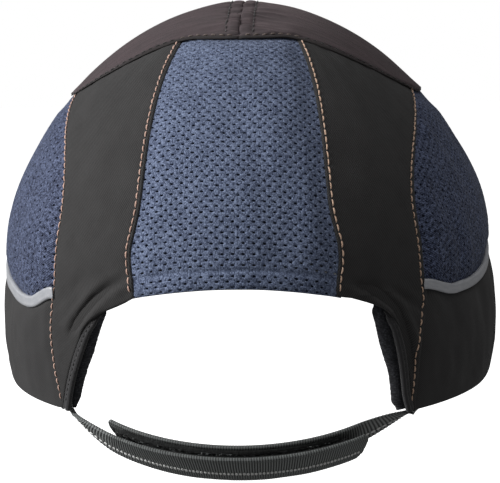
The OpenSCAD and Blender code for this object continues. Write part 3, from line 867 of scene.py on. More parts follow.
def air_mesh(
    name, side, m_range, k_range, pitch, row, hole, place, inside, solid, height, depth, paint, node
):
    """A knit sheet with a real hole in each cell of a staggered lattice."""
    m, k = np.meshgrid(np.arange(*m_range), np.arange(*k_range))
    m, k = m.ravel(), k.ravel()
    i0, j0 = 4 * m + 2 * (k % 2), 2 * k + 1
    U, V = i0 * pitch / 4, j0 * row / 2
    keep = inside(*place(U, V), U, V)
    i0, j0, U, V = i0[keep], j0[keep], U[keep], V[keep]
    full = solid(*place(U, V), U, V)
    n = len(i0)
    ring = np.array(CELL)
    I, J = i0[:, None] + ring[:, 0], j0[:, None] + ring[:, 1]
    keys, back = np.unique(I.ravel() * 100000 + J.ravel(), return_inverse=True)
    ki = np.round(keys / 100000).astype(int)
    kj = keys - ki * 100000
    border = back.reshape(n, 12)
    nb = len(keys)
    turn = np.arctan2(ring[:, 1] * row / 2, ring[:, 0] * pitch / 4)
    wobble = 1 + 0.10 * noise(i0 * 0.37, j0 * 0.71, 5)
    hu, hv = hole[0] * wobble, hole[1] * (1 + 0.10 * noise(i0 * 0.53, j0 * 0.31, 6))

    def oval(k):
        u = U[:, None] + k * hu[:, None] * np.cos(turn)
        v = V[:, None] + k * hv[:, None] * np.sin(turn)
        return u, v

    spots = [(ki * pitch / 4, kj * row / 2)] + [tuple(w.ravel() for w in oval(k)) for k in (1.5, 1.0)]
    lifts = (0.0, 0.05, -0.16)
    outs, clothes = [], []
    for (u, v), lift in zip(spots, lifts):
        a, q = place(u, v)
        sunk = np.zeros_like(u)
        if len(u) != nb:
            sunk = np.repeat(full, 12) * (-lift)
        outs.append((u, v, a, q, height(a, q, u, v) + lift + sunk))
    eps = 0.25

    def frame_at(u, v, a, q):
        p = cap_point(a, q)
        du = cap_point(*place(u + eps, v)) - cap_point(*place(u - eps, v))
        dv = cap_point(*place(u, v + eps)) - cap_point(*place(u, v - eps))
        return p, unit(np.cross(du, dv))

    verts = []
    for u, v, a, q, h in outs:
        p, nrm = frame_at(u, v, a, q)
        verts.append(p + nrm * h[:, None])
        clothes.append(np.stack([u, v, u * 0], -1))
    for u, v, a, q, _ in (outs[0], outs[2]):
        p, nrm = frame_at(u, v, a, q)
        verts.append(p + nrm * (height(a, q, u, v) - depth)[:, None])
        clothes.append(np.stack([u, v, u * 0], -1))
    off = np.cumsum([0, nb, 12 * n, 12 * n, nb])
    c = np.arange(n)[:, None] * 12
    e, e1 = np.arange(12)[None, :], (np.arange(12)[None, :] + 1) % 12
    B, B1 = border, border[:, (np.arange(12) + 1) % 12]
    r1, r1n = off[1] + c + e, off[1] + c + e1
    r2, r2n = off[2] + c + e, off[2] + c + e1
    bb, bbn = off[3] + B, off[3] + B1
    rb, rbn = off[4] + c + e, off[4] + c + e1

    def quads(a, b, c2, d, pick=slice(None)):
        return np.stack([x[pick].ravel() for x in (a, b, c2, d)], -1)

    open_cells = ~full
    faces = [
        quads(B, B1, r1n, r1),
        quads(r1, r1n, r2n, r2),
        quads(bbn, bb, rb, rbn),
        quads(r2, r2n, rbn, rb, open_cells),
    ]
    tris = []
    if full.any():
        idx = np.where(full)[0]
        for ringv, flip in ((r2, False), (rb, True)):
            u, v = U[idx], V[idx]
            a, q = place(u, v)
            p, nrm = frame_at(u, v, a, q)
            h = height(a, q, u, v) - (depth if flip else 0.0)
            start = len(np.concatenate(verts))
            verts.append(p + nrm * h[:, None])
            clothes.append(np.stack([u, v, u * 0], -1))
            mid = (start + np.arange(len(idx)))[:, None] + np.zeros((1, 12), int)
            one, two = ringv[idx], ringv[idx][:, (np.arange(12) + 1) % 12]
            tri = (mid, two, one) if flip else (mid, one, two)
            tris.append(np.stack([w.ravel() for w in tri], -1))
    start, end = B.ravel(), B1.ravel()
    seen = set(zip(start.tolist(), end.tolist()))
    rim = np.array([(p, q) for p, q in seen if (q, p) not in seen])
    if len(rim):
        p, q = rim[:, 0], rim[:, 1]
        faces.append(np.stack([q, p, off[3] + p, off[3] + q], -1))
    faces = [np.concatenate(faces)] + ([np.concatenate(tris)] if tris else [])
    V3 = np.concatenate(verts)
    ob = mesh_object(name, V3, faces, M[paint], np.concatenate(clothes), side)
    place_piece(ob, "cap", paint, node)
    skin = V3[: off[3]] * [side, 1, 1]
    polys = np.concatenate([quads(B, B1, r1n, r1), quads(r1, r1n, r2n, r2)])
    surfaces[name] = BVHTree.FromPolygons(skin.tolist(), polys.tolist())
    cell = pitch * row
    flat_sizes[name] = (float(np.ptp(U)) + pitch, float(np.ptp(V)) + row, n * cell)
    return ob


def rear_place(U, V):
    a0 = angle_from(U)
    start = np.interp(level_at(arch_z(np.abs(a0))), table_q, climb_back)
    q = np.interp(-(V + start), -climb_back, table_q)
    return angle_from(U / level_r(q)), q


def side_place(I, J):
    """I runs up the side and J towards the back."""
    q = np.interp(-I, -climb_side, table_q)
    mid = np.interp(90.0, table_a, ring_arc)
    return angle_from(mid - J / level_r(q)), q


def build_rear_mesh():
    def inside(a, q, U, V):
        over = 3.2 / (ARC_PER_DEGREE * np.maximum(level_r(q), 0.3))
        return (
            (np.abs(a) < mesh_angle(q) + over) & (q > crown_level(a) - 0.036)
            & ((V > 1.85 * 3) | (np.abs(a) < 21.8))
        )

    def solid(a, q, U, V):
        return ((V > 5.9) & (V < 7.3)) | ((V < 8.2) & (np.abs(a) > 19.6))

    def height(a, q, U, V):
        edge = np.maximum((mesh_angle(q) - np.abs(a)) * ARC_PER_DEGREE * level_r(q), 0)
        top = np.maximum((q - crown_level(a)) * 150, 0)
        h = -0.62 + 0.95 * ease(0, 9, edge) * ease(0, 8, top)
        h += (
            (0.55 * noise(U / 16, V / 30, 91) + 0.22 * noise(U / 8, V / 12, 92)) * ease(2, 12, edge)
            * ease(3, 12, top)
        )
        h -= 0.42 * np.exp(-(((V - 6.6 + 0.3 * noise(U / 9, 0, 93)) / 0.75) ** 2)) * ease(-0.5, 2, edge)
        h += 0.30 * ease(6.0, 4.5, V) + 0.10 * np.exp(-(((V - 8.2) / 1.2) ** 2))
        return h - 0.45 * ease(1.3, 0.0, V)

    rows = (0, 64)
    ob = air_mesh(
        "rear_mesh_knit", RIGHT, (-13, 14), rows, 3.6, 1.85, (0.60, 0.34), rear_place, inside, solid,
        height, 0.72, "rear_knit", "rear_mesh_panel"
    )


def build_side_mesh(side):
    seed = 101 if side == LEFT else 113
    gap = 4.0 if side == LEFT else 2.2
    tall = 2.9 if side == LEFT else 2.5

    def inside(a, q, I, J):
        over = 3.0 / (ARC_PER_DEGREE * np.maximum(level_r(q), 0.3))
        low = level_z(q) > piping_z(a, side) - 0.2
        return (
            (a > side_angle(q, side) - over) & (a < front_angle(q) + over) & (q > crown_level(a) - 0.036)
            & low
        )

    def solid(a, q, I, J):
        return np.zeros(len(a), bool)

    def height(a, q, I, J):
        back = np.maximum((a - side_angle(q, side)) * ARC_PER_DEGREE * level_r(q), 0)
        front = np.maximum((front_angle(q) - a) * ARC_PER_DEGREE * level_r(q), 0)
        edge = np.minimum(back, front)
        top = np.maximum((q - crown_level(a)) * 150, 0)
        above = level_z(q) - piping_z(a, side) - PIPING_H / 2
        h = -0.62 + 0.9 * ease(0, 8, edge) * ease(0, 8, top)
        h += (
            1.45 * ease(-0.5, 5.5, above) * ease(48, 12, above) * ease(-1, 6, edge)
            - 0.6 * ease(1.6, -0.5, above)
        )
        h += (
            (0.5 * noise(J / 9, I / 70, seed) + 0.22 * noise(J / 4.4, I / 30, seed + 1)) * ease(1, 9, edge)
            * ease(0, 9, top)
        )
        return h

    span = int(110 / gap) + 2
    name = "side_mesh_%s_knit" % SIDES[side]
    hole = (0.42, 0.46) if side == LEFT else (0.40, 0.36)
    ob = air_mesh(
        name, side, (-6, 46), (-span, span), tall, gap, hole, side_place, inside, solid, height, 0.7,
        "side_knit", "side_mesh_" + SIDES[side]
    )


for build in (build_crown, build_rear, build_band):
    for side in (LEFT, RIGHT):
        build(side)
build_front()
build_rear_mesh()
for side in (LEFT, RIGHT):
    build_side_mesh(side)


# --- Swept and small pieces ----------------------------------------------------------------------


def sweep(name, path, lifts, profile, paint, side, *nodes, body="cap"):
    """A closed bar along a path. profile(k) gives the section's [up, out] points at each place, in order."""
    ahead = unit(np.gradient(path, axis=0))
    across = unit(np.cross(ahead, lifts))
    up = np.cross(across, ahead)
    n = len(path)
    rings = np.stack([profile(k) for k in range(n)])
    sides = rings.shape[1]
    verts = path[:, None] + up[:, None] * rings[..., :1] + across[:, None] * rings[..., 1:]
    i, j = np.meshgrid(np.arange(n - 1), np.arange(sides), indexing="ij")
    j1 = (j + 1) % sides
    quads = (
        np.stack([i * sides + j, i * sides + j1, (i + 1) * sides + j1, (i + 1) * sides + j], -1).reshape(-1,
        4)
    )
    flat = verts.reshape(-1, 3)
    ends, mids = [], []
    for row, flip in ((0, True), (n - 1, False)):
        outer = row * sides + np.arange(sides)
        bulge = ahead[row] * (-0.35 if flip else 0.35)
        mids.append(flat[outer].mean(0) + bulge)
        c = np.full(sides, len(flat) + len(mids) - 1)
        nxt = np.roll(outer, -1)
        ends.append(np.stack([c, nxt, outer] if flip else [c, outer, nxt], -1))
    s = walk(path)
    around = np.concatenate([[0], np.cumsum(np.linalg.norm(np.diff(rings[0], axis=0), axis=1))])
    cloth = np.stack(np.broadcast_arrays(s[:, None], around[None, :], 0.0), -1).reshape(-1, 3)
    cloth = np.concatenate([cloth, [[s[0], 0, 0], [s[-1], 0, 0]]])
    ob = mesh_object(
        name, np.concatenate([flat, mids]), [quads, np.concatenate(ends)], M[paint], cloth, side
    )
    turn_outward(ob)
    surfaces[name] = BVHTree.FromPolygons((flat * [side, 1, 1]).tolist(), quads.tolist())
    place_piece(ob, body, paint, *nodes)
    return ob


def stitches(
    name, lines, onto, paint, length=2.85, pitch=3.0, radius=0.27, body="cap", lift=0.22, seed=0, offset=0.5
):
    """Rows of thread, each stitch a capsule that lies on the cloth and dips in at both ends."""
    rng = np.random.default_rng(seed + 7)
    trees = [surfaces[o] for o in onto]
    rings, sides = 7, 8
    verts, cloth = [], []
    turn = np.arange(sides) * 2 * math.pi / sides
    base = 0
    quads = []
    for k in range(rings - 1):
        for j in range(sides):
            quads.append(
                (k * sides + j, k * sides + (j + 1) % sides, (k + 1) * sides + (j + 1) % sides,
                (k + 1) * sides + j)
            )
    quads = np.array(quads)
    fans = []
    for ring, order in ((0, -1), (rings - 1, 1)):
        r = ring * sides + np.arange(sides)[::order]
        fans.append(np.stack([np.full(sides - 2, r[0]), r[1:-1], r[2:]], -1))
    fans = np.concatenate(fans)
    all_quads, all_tris = [], []
    for line in lines:
        s = walk(line)
        at = np.arange(pitch * offset, s[-1] - length / 2, pitch)
        for c in at:
            jit = rng.normal(0, 0.10, 3)
            size = length * (1 + 0.08 * jit[0])
            ts = np.linspace(c - size / 2, c + size / 2, rings) + jit[1] * 0.6
            pts = np.stack([np.interp(ts, s, line[:, d]) for d in range(3)], -1)
            place, nrm = [], []
            for p in pts:
                best = None
                for tree in trees:
                    hit = tree.find_nearest(Vector(p), 6)
                    if hit[0] is not None and (best is None or hit[3] < best[3]):
                        best = hit
                if best is None:
                    break
                place.append(best[0])
                nrm.append(best[1])
            if len(place) < rings:
                continue
            place, nrm = np.array(place), unit(np.array(nrm))
            nrm = unit(nrm.mean(0))
            if onto[0].startswith(("rear_panel", "crown_panel", "front_panel")):
                nrm = nrm * np.sign((nrm * place.mean(0)).sum())
            way = unit(place[-1] - place[0])
            across = unit(np.cross(nrm, way))
            slant = across * jit[2] * 0.9
            f = np.linspace(-1, 1, rings)
            rise = radius * 0.45 + lift - (radius * 1.5 + lift) * np.abs(f) ** 3.2
            fat = radius * np.array([0.45, 0.82, 0.97, 1.0, 0.97, 0.82, 0.45]) * (1 + 0.06 * rng.normal())
            centre = place + nrm * rise[:, None] + slant * f[:, None]
            ring = (
                centre[:, None]
                + fat[:, None, None]
                * (across * np.cos(turn)[:, None] * 1.12 + nrm * np.sin(turn)[:, None])[None]
            )
            verts.append(ring.reshape(-1, 3))
            tone = rng.random()
            cl = np.stack(np.broadcast_arrays((ts - s[0])[:, None], (turn / (2 * math.pi))[None], tone), -1)
            cloth.append(cl.reshape(-1, 3))
            all_quads.append(quads + base)
            all_tris.append(fans + base)
            base += rings * sides
    if not verts:
        return None
    ob = mesh_object(
        name, np.concatenate(verts), [np.concatenate(all_quads), np.concatenate(all_tris)], M[paint],
        np.concatenate(cloth)
    )
    turn_outward(ob)
    place_piece(ob, body, paint)
    return ob


def beside(angle_of, z_from, z_to, off):
    """A line down the cap at a distance to the right of a seam."""
    z = np.linspace(z_from, z_to, 260)
    q = level_at(z)
    a = angle_of(q)
    a = a + off / (1.78 * np.maximum(level_r(q), 0.3))
    return cap_point(a, q)


def flipped(line, side):
    return line * [side, 1, 1]


for side in (LEFT, RIGHT):
    word, hand = SIDES[side], side == LEFT
    rear_skin = "rear_panel_%s_cloth" % word
    top_z = float(level_z(np.array(crown_level(24) + 0.004)))
    line = flipped(beside(mesh_angle, top_z, -1.2, 1.7 if hand else 1.5), side)
    stitches("mesh_seam_thread_" + word, [line], [rear_skin], "peach" if hand else "tan", seed=3 * side + 5)
    # Short dark capsules sunk between the stitches: painted shade in the needle holes.
    stitches(
        "mesh_seam_hole_shade_" + word, [line], [rear_skin], "dark_thread", 0.6, radius=0.30, lift=-0.12,
        seed=3 * side + 15, offset=1.0
    )
    top_z = float(level_z(np.array(crown_level(60) + 0.012)))
    line = flipped(beside(lambda q: side_angle(q, side), top_z, -47.5, -1.05 if hand else -2.35), side)
    stitches("side_seam_thread_" + word, [line], [rear_skin], "peach" if hand else "tan", seed=3 * side + 6)
    # Short dark capsules sunk between the stitches: painted shade in the needle holes.
    stitches(
        "side_seam_hole_shade_" + word, [line], [rear_skin], "dark_thread", 0.6, radius=0.30, lift=-0.12,
        seed=3 * side + 16, offset=1.0
    )
    a = np.linspace(2.5, 177.5, 500)
    lip = cap_point(a, lip_level(a) - LIP_ROW / CROWN_ARC)
    down = np.linspace(0.02, 1, 300)
    rows = []
    for far_angle in (0, 180):
        q = down * (crown_level(far_angle) - 0.012)
        r = cap_point(far_angle, q)
        x = np.full(len(q), 5.0)
        y = r[:, 1]
        z = r[:, 2] - (5.0**2) / (2 * 100)
        rows.append(np.stack([x, y, z], -1))
    centre_row = np.concatenate([rows[0][::-1], rows[1]])
    skin = ["crown_panel_%s_cloth" % word]
    near_back = a < 33
    stitches(
        "crown_thread_" + word, [flipped(lip[~near_back], side), flipped(centre_row, side)], skin,
        "dark_thread", 2.3, 2.9, 0.22, seed=3 * side + 7
    )
    stitches(
        "crown_back_thread_" + word, [flipped(lip[near_back], side)], skin, "drab", 2.2, 3.1, 0.24,
        seed=3 * side + 8
    )
for side in (LEFT, RIGHT):
    z = np.linspace(float(level_z(np.array(crown_level(125) + 0.01))), -26, 240)
    q = level_at(z)
    a = front_angle(q) + 1.5 / (1.9 * np.maximum(level_r(q), 0.3))
    stitches(
        "front_seam_thread_" + SIDES[side], [flipped(cap_point(a, q), side)], ["front_panel_cloth"],
        "peach" if side == LEFT else "tan", seed=side + 21
    )


# --- Piping and flap edges -----------------------------------------------------------------------


def build_piping(side):
    a = np.linspace(float(side_angle(1.05, side)) - 0.75, float(front_angle(level_at(12))) + 0.4, 260)
    path = cap_point(a, level_at(piping_z(a, side)), -0.15)
    lifts = np.tile([0, 0, 1.0], (len(a), 1))
    half = PIPING_H / 2 - (0.15 if side == LEFT else 0.40)
    t = np.linspace(0, 1, 15)
    up = half * np.cos(math.pi * t)
    dome = np.sin(math.pi * t) ** 0.62
    rng = noise(a / 4.0, 0, 7 + side), noise(a / 1.6, 3, 9 + side)

    rise = ease(0.5, 1.9, a - a[0])

    def profile(k):
        out = mix(0.25, -(0.35 + 1.05 * dome * (1 + 0.07 * rng[0][k]) + 0.04 * rng[1][k]), rise[k])
        front_side = np.stack([up * (1 + 0.025 * rng[0][k]), out], -1)
        back = np.stack([np.linspace(-half * 0.92, half * 0.92, 6), np.full(6, 0.75)], -1)
        return np.concatenate([front_side, back])

    return sweep(
        "piping_%s_tape" % SIDES[side], path, lifts, profile, "piping", side, "piping_" + SIDES[side]
    )


def build_binding(side):
    f = np.linspace(0, 1, 150)
    z = mix(-10.2, -HEM_DROP + 0.8, f)
    start = 0.35 + 0.65 * ease(0, 0.10, f)
    a = flap_angle(z, side)
    path = cap_point(a - 0.55 + 1.1 * (1 - start), level_at(z), 0.75 + 1.0 * (1 - start))
    lifts = cap_point(a, level_at(z), -1) - cap_point(a, level_at(z))
    turn = np.linspace(0, 2 * math.pi, 28, endpoint=False)
    wide = 1.15 + 0.62 * ease(-9, -26, z)
    ripple = noise(walk(path) / 1.9, 0, 3 + side)

    def profile(k):
        up = 1.22 * np.sign(np.sin(turn)) * np.abs(np.sin(turn)) ** 0.8
        out = wide[k] * np.cos(turn)
        top = np.clip(np.sin(turn), 0, 1)
        groove = 0.42 * np.exp(-((out / 0.42) ** 2)) * top
        return np.stack([up - groove + 0.06 * ripple[k] * top, out], -1) * start[k]

    name = "flap_binding_%s_tape" % SIDES[side]
    ob = sweep(name, path, lifts, profile, "tape", side, "flap_binding_" + SIDES[side])
    line = path[8:-6] + unit(lifts[8:-6])
    stitches(
        "flap_binding_thread_" + SIDES[side], [flipped(line, side)], [name], "dark_thread", 1.9, 2.5, 0.24,
        lift=0.05, seed=41 + side
    )
    return ob


for side in (LEFT, RIGHT):
    build_piping(side)
    build_binding(side)


# --- Straps --------------------------------------------------------------------------------------

STRAP_W, STRAP_T, HOOK_T, LOOP_T, PATCH_GAP, LAYER_GAP = 18.0, 1.4, 1.3, 1.5, 0.1, 0.35
SHIFT = STRAP_T + HOOK_T + LOOP_T + 2 * PATCH_GAP + LAYER_GAP
OUTER_TIP, INNER_TIP = -38.0, -42.0


def strap_frame(a):
    a = np.asarray(a, float)[..., None]
    x, back = np.array([1.0, 0, 0]), np.array([0, -cosd(28), -sind(28)])
    down = np.array([0, sind(28), -cosd(28)])
    mid = np.array([0, -44.5, -38.5]) + 73.0 * (sind(a) * x + 0.79 * cosd(a) * back)
    out = unit(0.79 * sind(a) * x + cosd(a) * back)
    return mid, cosd(21.5) * out + sind(21.5) * down, cosd(21.5) * down - sind(21.5) * out


ROOT_UP = cap_point(41.0, level_at(-52.7), 2.2)
ROOT_EAR = cap_point(46.0, level_at(-52.7), 7.0)
ROOT_UP[2] = ROOT_EAR[2] = -52.7


def strap_point(along, across, depth, tip_arc, shift):
    along, across, depth = np.broadcast_arrays(*(np.asarray(v, float) for v in (along, across, depth)))
    skew = 13 * (1 - ease(0, 0.35, along)) * (across + 1) / 2
    mid, out, down = strap_frame(mix(55.0, tip_arc, along) + skew)
    free = ease(0, 0.2, along)[..., None]
    on_arc = mid + (across * STRAP_W / 2)[..., None] * down - shift * out
    root = mix(ROOT_UP, ROOT_EAR, ((across + 1) / 2)[..., None])
    return mix(root, on_arc, free) + depth[..., None] * out


def strap_length(tip_arc, shift):
    t = np.linspace(0, 1, 400)
    return walk(strap_point(t, t * 0, t * 0, tip_arc, shift))[-1]


def round_tip(across, pull=0.022):
    return 1 - pull * np.abs(across) ** 4


RIB = 0.96


def build_webbing(name, node, side, tip_arc, shift, seed):
    length = strap_length(tip_arc, shift)
    across = np.concatenate(
        [[-1, -0.985, -0.955, -0.92], np.linspace(-0.87, 0.87, 15), [0.92, 0.955, 0.985, 1]]
    )
    steps = int(length / RIB * 4.6)
    s = np.linspace(0, 1, steps + 1)
    W, S = np.meshgrid(across, s, indexing="ij")
    reach = round_tip(W)
    run = S * reach
    mm = run * length
    wave = np.cos(2 * math.pi * (mm + 0.05 * noise(mm / 6, W * 3, seed)) / RIB)
    edge = ease(1.0, 0.9, np.abs(W))
    lane = ease(0.075, 0.045, np.abs(W - 0.28))
    rib = (
        0.15 * wave * (0.35 + 0.65 * edge) * (1 - 0.7 * lane)
        * (1 + 0.25 * noise(mm / 0.8, W * 9, seed + 1))
    )
    half = STRAP_T / 2 - 0.05
    roll = 0.22 * (1 - np.sqrt(np.clip(1 - np.clip((np.abs(W) - 0.93) / 0.07, 0, 1) ** 2, 0, 1)))
    wavy = 0.07 * noise(mm / 9, W * 2, seed + 2)
    face = half + rib + wavy - roll - 0.10 * lane - 0.05 * ease(0.97, 1.0, S)
    outer = strap_point(run, W, face, tip_arc, shift)
    inner = strap_point(run, W, -(half + rib * 0.8 - roll), tip_arc, shift)
    verts, faces, index = sheet_mesh(outer, inner, 0.3)
    # Rib crests high and grooves low, read by the webbing paint as a painted highlight and painted shade.
    tone = 0.5 + 0.5 * wave * (0.55 + 0.45 * edge)
    cloth = np.stack([mm, W * STRAP_W / 2, np.clip(tone, 0, 1)], -1).reshape(-1, 3)[index]
    ob = mesh_object(name, verts, faces, M["webbing"], cloth, side)
    turn_outward(ob)
    place_piece(ob, node, "webbing", node)
    return length


def build_rings(name, node, side, tip_arc, shift, first, last, seed):
    """The light line in the webbing: a chain of small oval loops of thread."""
    rng = np.random.default_rng(seed)
    length = strap_length(tip_arc, shift)
    at = np.arange(first * length, last * length, 1.45)
    around, tube = 12, 6
    ta, tb = np.arange(around) * 2 * math.pi / around, np.arange(tube) * 2 * math.pi / tube
    TA, TB = np.meshgrid(ta, tb, indexing="ij")
    i, j = np.meshgrid(np.arange(around), np.arange(tube), indexing="ij")
    quad = (
        np.stack([i * tube + j, ((i + 1) % around) * tube + j, ((i + 1) % around) * tube + (j + 1) % tube,
        i * tube + (j + 1) % tube], -1).reshape(-1, 4)
    )
    verts, faces, cloth = [], [], []
    r = 0.21
    for n, c in enumerate(at):
        size = 1 + 0.07 * rng.normal()
        ra, rb = 0.34 * size, 0.56 * size
        slide = c + ra * np.cos(TA) + r * np.cos(TA) * np.cos(TB)
        off = rb * np.sin(TA) + r * np.sin(TA) * np.cos(TB)
        lift = STRAP_T / 2 + 0.14 + 0.05 * rng.normal() * 0.5 + r * np.sin(TB)
        verts.append(
            strap_point(slide / length, 0.28 + off / (STRAP_W / 2), lift, tip_arc, shift).reshape(-1, 3)
        )
        cloth.append(np.stack([slide, off, np.full_like(off, rng.random())], -1).reshape(-1, 3))
        faces.append(quad + n * around * tube)
    ob = mesh_object(
        name, np.concatenate(verts), [np.concatenate(faces)], M["white_thread"], np.concatenate(cloth), side
    )
    turn_outward(ob)
    place_piece(ob, node, "white_thread")


def build_patch(name, node, body, side, tip_arc, shift, first, d0, d1, paint, bumpy, seed):
    length = strap_length(tip_arc, shift)
    across = np.concatenate([[-1, -0.97, -0.93], np.linspace(-0.87, 0.87, 29), [0.93, 0.97, 1]])
    s = np.linspace(0, 1, int((0.97 - first) * length / 0.42))
    W, S = np.meshgrid(across, s, indexing="ij")
    last = 0.97 - 0.045 * np.abs(W) ** 4
    run = first + (last - first) * S
    mm = run * length
    rim = np.minimum(1 - np.abs(W), np.minimum(S, 1 - S) * (0.97 - first) * length / 7.7)
    roll = ease(0.10, 0.0, rim)
    bumps = bumpy * (noise(mm / 0.55, W * 14, seed) + 0.8 * noise(mm / 1.3, W * 6, seed + 1)) * (1 - roll)
    swell = 0.12 * noise(mm / 7, W * 1.5, seed + 2)
    top = np.where(d1 > 0, d1, d0)
    base = d0 if d1 > 0 else d1
    face = top + np.sign(top) * (-0.30 + bumps + swell - 0.45 * roll)
    out_face, in_face = (face, base + 0 * face) if d1 > 0 else (base + 0 * face, face)
    outer = strap_point(run, W * 0.86, out_face, tip_arc, shift)
    inner = strap_point(run, W * 0.86, in_face, tip_arc, shift)
    verts, faces, index = sheet_mesh(outer, inner, 0.25)
    cloth = np.stack([mm, W * 7.74, 0 * mm], -1).reshape(-1, 3)[index]
    ob = mesh_object(name, verts, faces, M[paint], cloth, side)
    turn_outward(ob)
    place_piece(ob, body, paint, node)


def fibres(
    name, body, side, tip_arc, shift, first, count, base, way, paint, seed, tall, arc_r, thick, lo=-0.83,
    hi=0.83
):
    """Small bent fibres that stand on a patch: loops for the napped face and hooks for the other."""
    rng = np.random.default_rng(seed)
    length = strap_length(tip_arc, shift)
    pts, tube = 8, 5
    tb = np.arange(tube) * 2 * math.pi / tube
    i, j = np.meshgrid(np.arange(pts - 1), np.arange(tube), indexing="ij")
    quad = (
        np.stack([i * tube + j, i * tube + (j + 1) % tube, (i + 1) * tube + (j + 1) % tube,
        (i + 1) * tube + j], -1).reshape(-1, 4)
    )
    caps = np.array([[0, 2, 1], [0, 3, 2], [0, 4, 3]])
    caps = np.concatenate([caps, caps[:, ::-1] + (pts - 1) * tube])
    verts, quads, tris, cloth = [], [], [], []
    for n in range(count):
        along = rng.uniform(first + 0.008, 0.945) * length
        across = rng.uniform(lo, hi) * STRAP_W / 2
        turn = rng.uniform(0, 2 * math.pi)
        f = np.linspace(0, 1, pts)
        spin = math.pi * (1.05 + 0.35 * rng.random())
        side_run = arc_r * (1 - np.cos(f * spin)) * (0.8 + 0.5 * rng.random())
        rise = tall * np.sin(f * spin * 0.92) * (0.7 + 0.5 * rng.random())
        c = np.stack([along + side_run * math.cos(turn), across + side_run * math.sin(turn), rise], -1)
        t = unit(np.gradient(c, axis=0))
        ref = np.array([-math.sin(turn), math.cos(turn), 0])
        n2 = unit(np.cross(t, ref))
        b = np.cross(n2, t)
        fat = thick * (1 - 0.45 * f)[:, None, None]
        ring = c[:, None] + fat * (n2[:, None] * np.cos(tb)[:, None] + b[:, None] * np.sin(tb)[:, None])
        low = np.clip(ring[..., 1], -7.7, 7.7)
        p = strap_point(
            ring[..., 0] / length, low / (STRAP_W / 2), base + way * np.maximum(ring[..., 2], -0.12),
            tip_arc, shift
        )
        verts.append(p.reshape(-1, 3))
        cloth.append(
            np.stack(np.broadcast_arrays(f[:, None] * 2, tb[None], rng.random()), -1).reshape(-1, 3)
        )
        quads.append(quad + n * pts * tube)
        tris.append(caps + n * pts * tube)
    ob = mesh_object(
        name, np.concatenate(verts), [np.concatenate(quads), np.concatenate(tris)], M[paint],
        np.concatenate(cloth), side
    )
    turn_outward(ob)
    place_piece(ob, body, paint)


face = STRAP_T / 2 + PATCH_GAP
build_webbing("strap_left_webbing", "strap_left", LEFT, OUTER_TIP, 0.0, 201)
build_rings("strap_left_light_line", "strap_left", LEFT, OUTER_TIP, 0.0, 0.05, 0.985, 202)
build_patch(
    "hook_patch_tape", "hook_patch", "strap_left", LEFT, OUTER_TIP, 0.0, 0.30, -face - HOOK_T, -face,
    "hooks", 0.05, 203
)
build_webbing("strap_right_webbing", "strap_right", RIGHT, INNER_TIP, SHIFT, 211)
build_rings("strap_right_light_line", "strap_right", RIGHT, INNER_TIP, SHIFT, 0.05, 0.255, 212)
build_patch(
    "loop_patch_tape", "loop_patch", "strap_right", RIGHT, INNER_TIP, SHIFT, 0.26, face, face + LOOP_T,
    "loops", 0.10, 213
)
fibres(
    "loop_patch_curls", "strap_right", RIGHT, INNER_TIP, SHIFT, 0.26, 2600, face + LOOP_T - 0.35, 1,
    "curls", 214, 0.42, 0.30, 0.055
)
# A tenth as many pale grey curls stand among the dark ones on the loop patch.
fibres(
    "loop_patch_pale_curls", "strap_right", RIGHT, INNER_TIP, SHIFT, 0.26, 260, face + LOOP_T - 0.25, 1, "pale_curls",
    215, 0.42, 0.28, 0.05
)
fibres(
    "hook_patch_hooks", "strap_left", LEFT, OUTER_TIP, 0.0, 0.30, 1500, -face - HOOK_T + 0.45, -1, "hooks",
    216, 0.40, 0.22, 0.07
)


# --- Pads and linings ----------------------------------------------------------------------------


def pillow(
    name, side, A, Q, near_cap, thick, paint, nodes, puff, rim=3.2, rough=0.12, scale=1.4, seed=0,
    quilt=None
):
    """A crowned pad between two insets: its faces swell in the middle and roll into a rounded rim."""
    P = cap_point(A, Q)
    N = unit(cap_point(A, Q, -1.0) - P)
    edge = np.min([far_from(P, line) for line in (P[0], P[-1], P[:, 0], P[:, -1])], axis=0)
    u, v = lengths(P)
    roll = np.sqrt(np.clip(1 - (1 - np.clip(edge / rim, 0, 1)) ** 2, 0, 1))
    mid = near_cap + thick / 2
    half = thick / 2 * (1 - puff + puff * roll) * np.clip(0.30 + 0.70 * roll, 0, 1)
    bumps = (
        rough * (noise(u / scale, v / scale, seed)
        + 0.5 * noise(u / scale * 2.3, v / scale * 2.3, seed + 1)) * roll
    )
    if quilt is not None:
        bumps = bumps - 0.7 * quilt(u, v, A, Q) * roll
    outer = P - N * (mid - half)[..., None]
    inner = P - N * (mid + half + np.minimum(bumps, 0.25))[..., None]
    verts, faces, index = sheet_mesh(outer, inner, 0.35)
    cloth = np.stack([u, v, 0 * u], -1).reshape(-1, 3)[index]
    ob = mesh_object(name, verts, faces, M[paint], cloth, side)
    inside_face = inner.reshape(-1, 3) * [side, 1, 1]
    surfaces[name] = BVHTree.FromPolygons(
        inside_face.tolist(), grid_quads(*inner.shape[:2])[:, ::-1].tolist()
    )
    turn_outward(ob)
    place_piece(ob, "cap", paint, *nodes)
    return ob, inner


def patch_grid(first, last, top, bottom, s, t):
    S, T = np.meshgrid(s, t)
    A = mix(first, last, S)
    return A, mix(top(A), bottom(A), T)


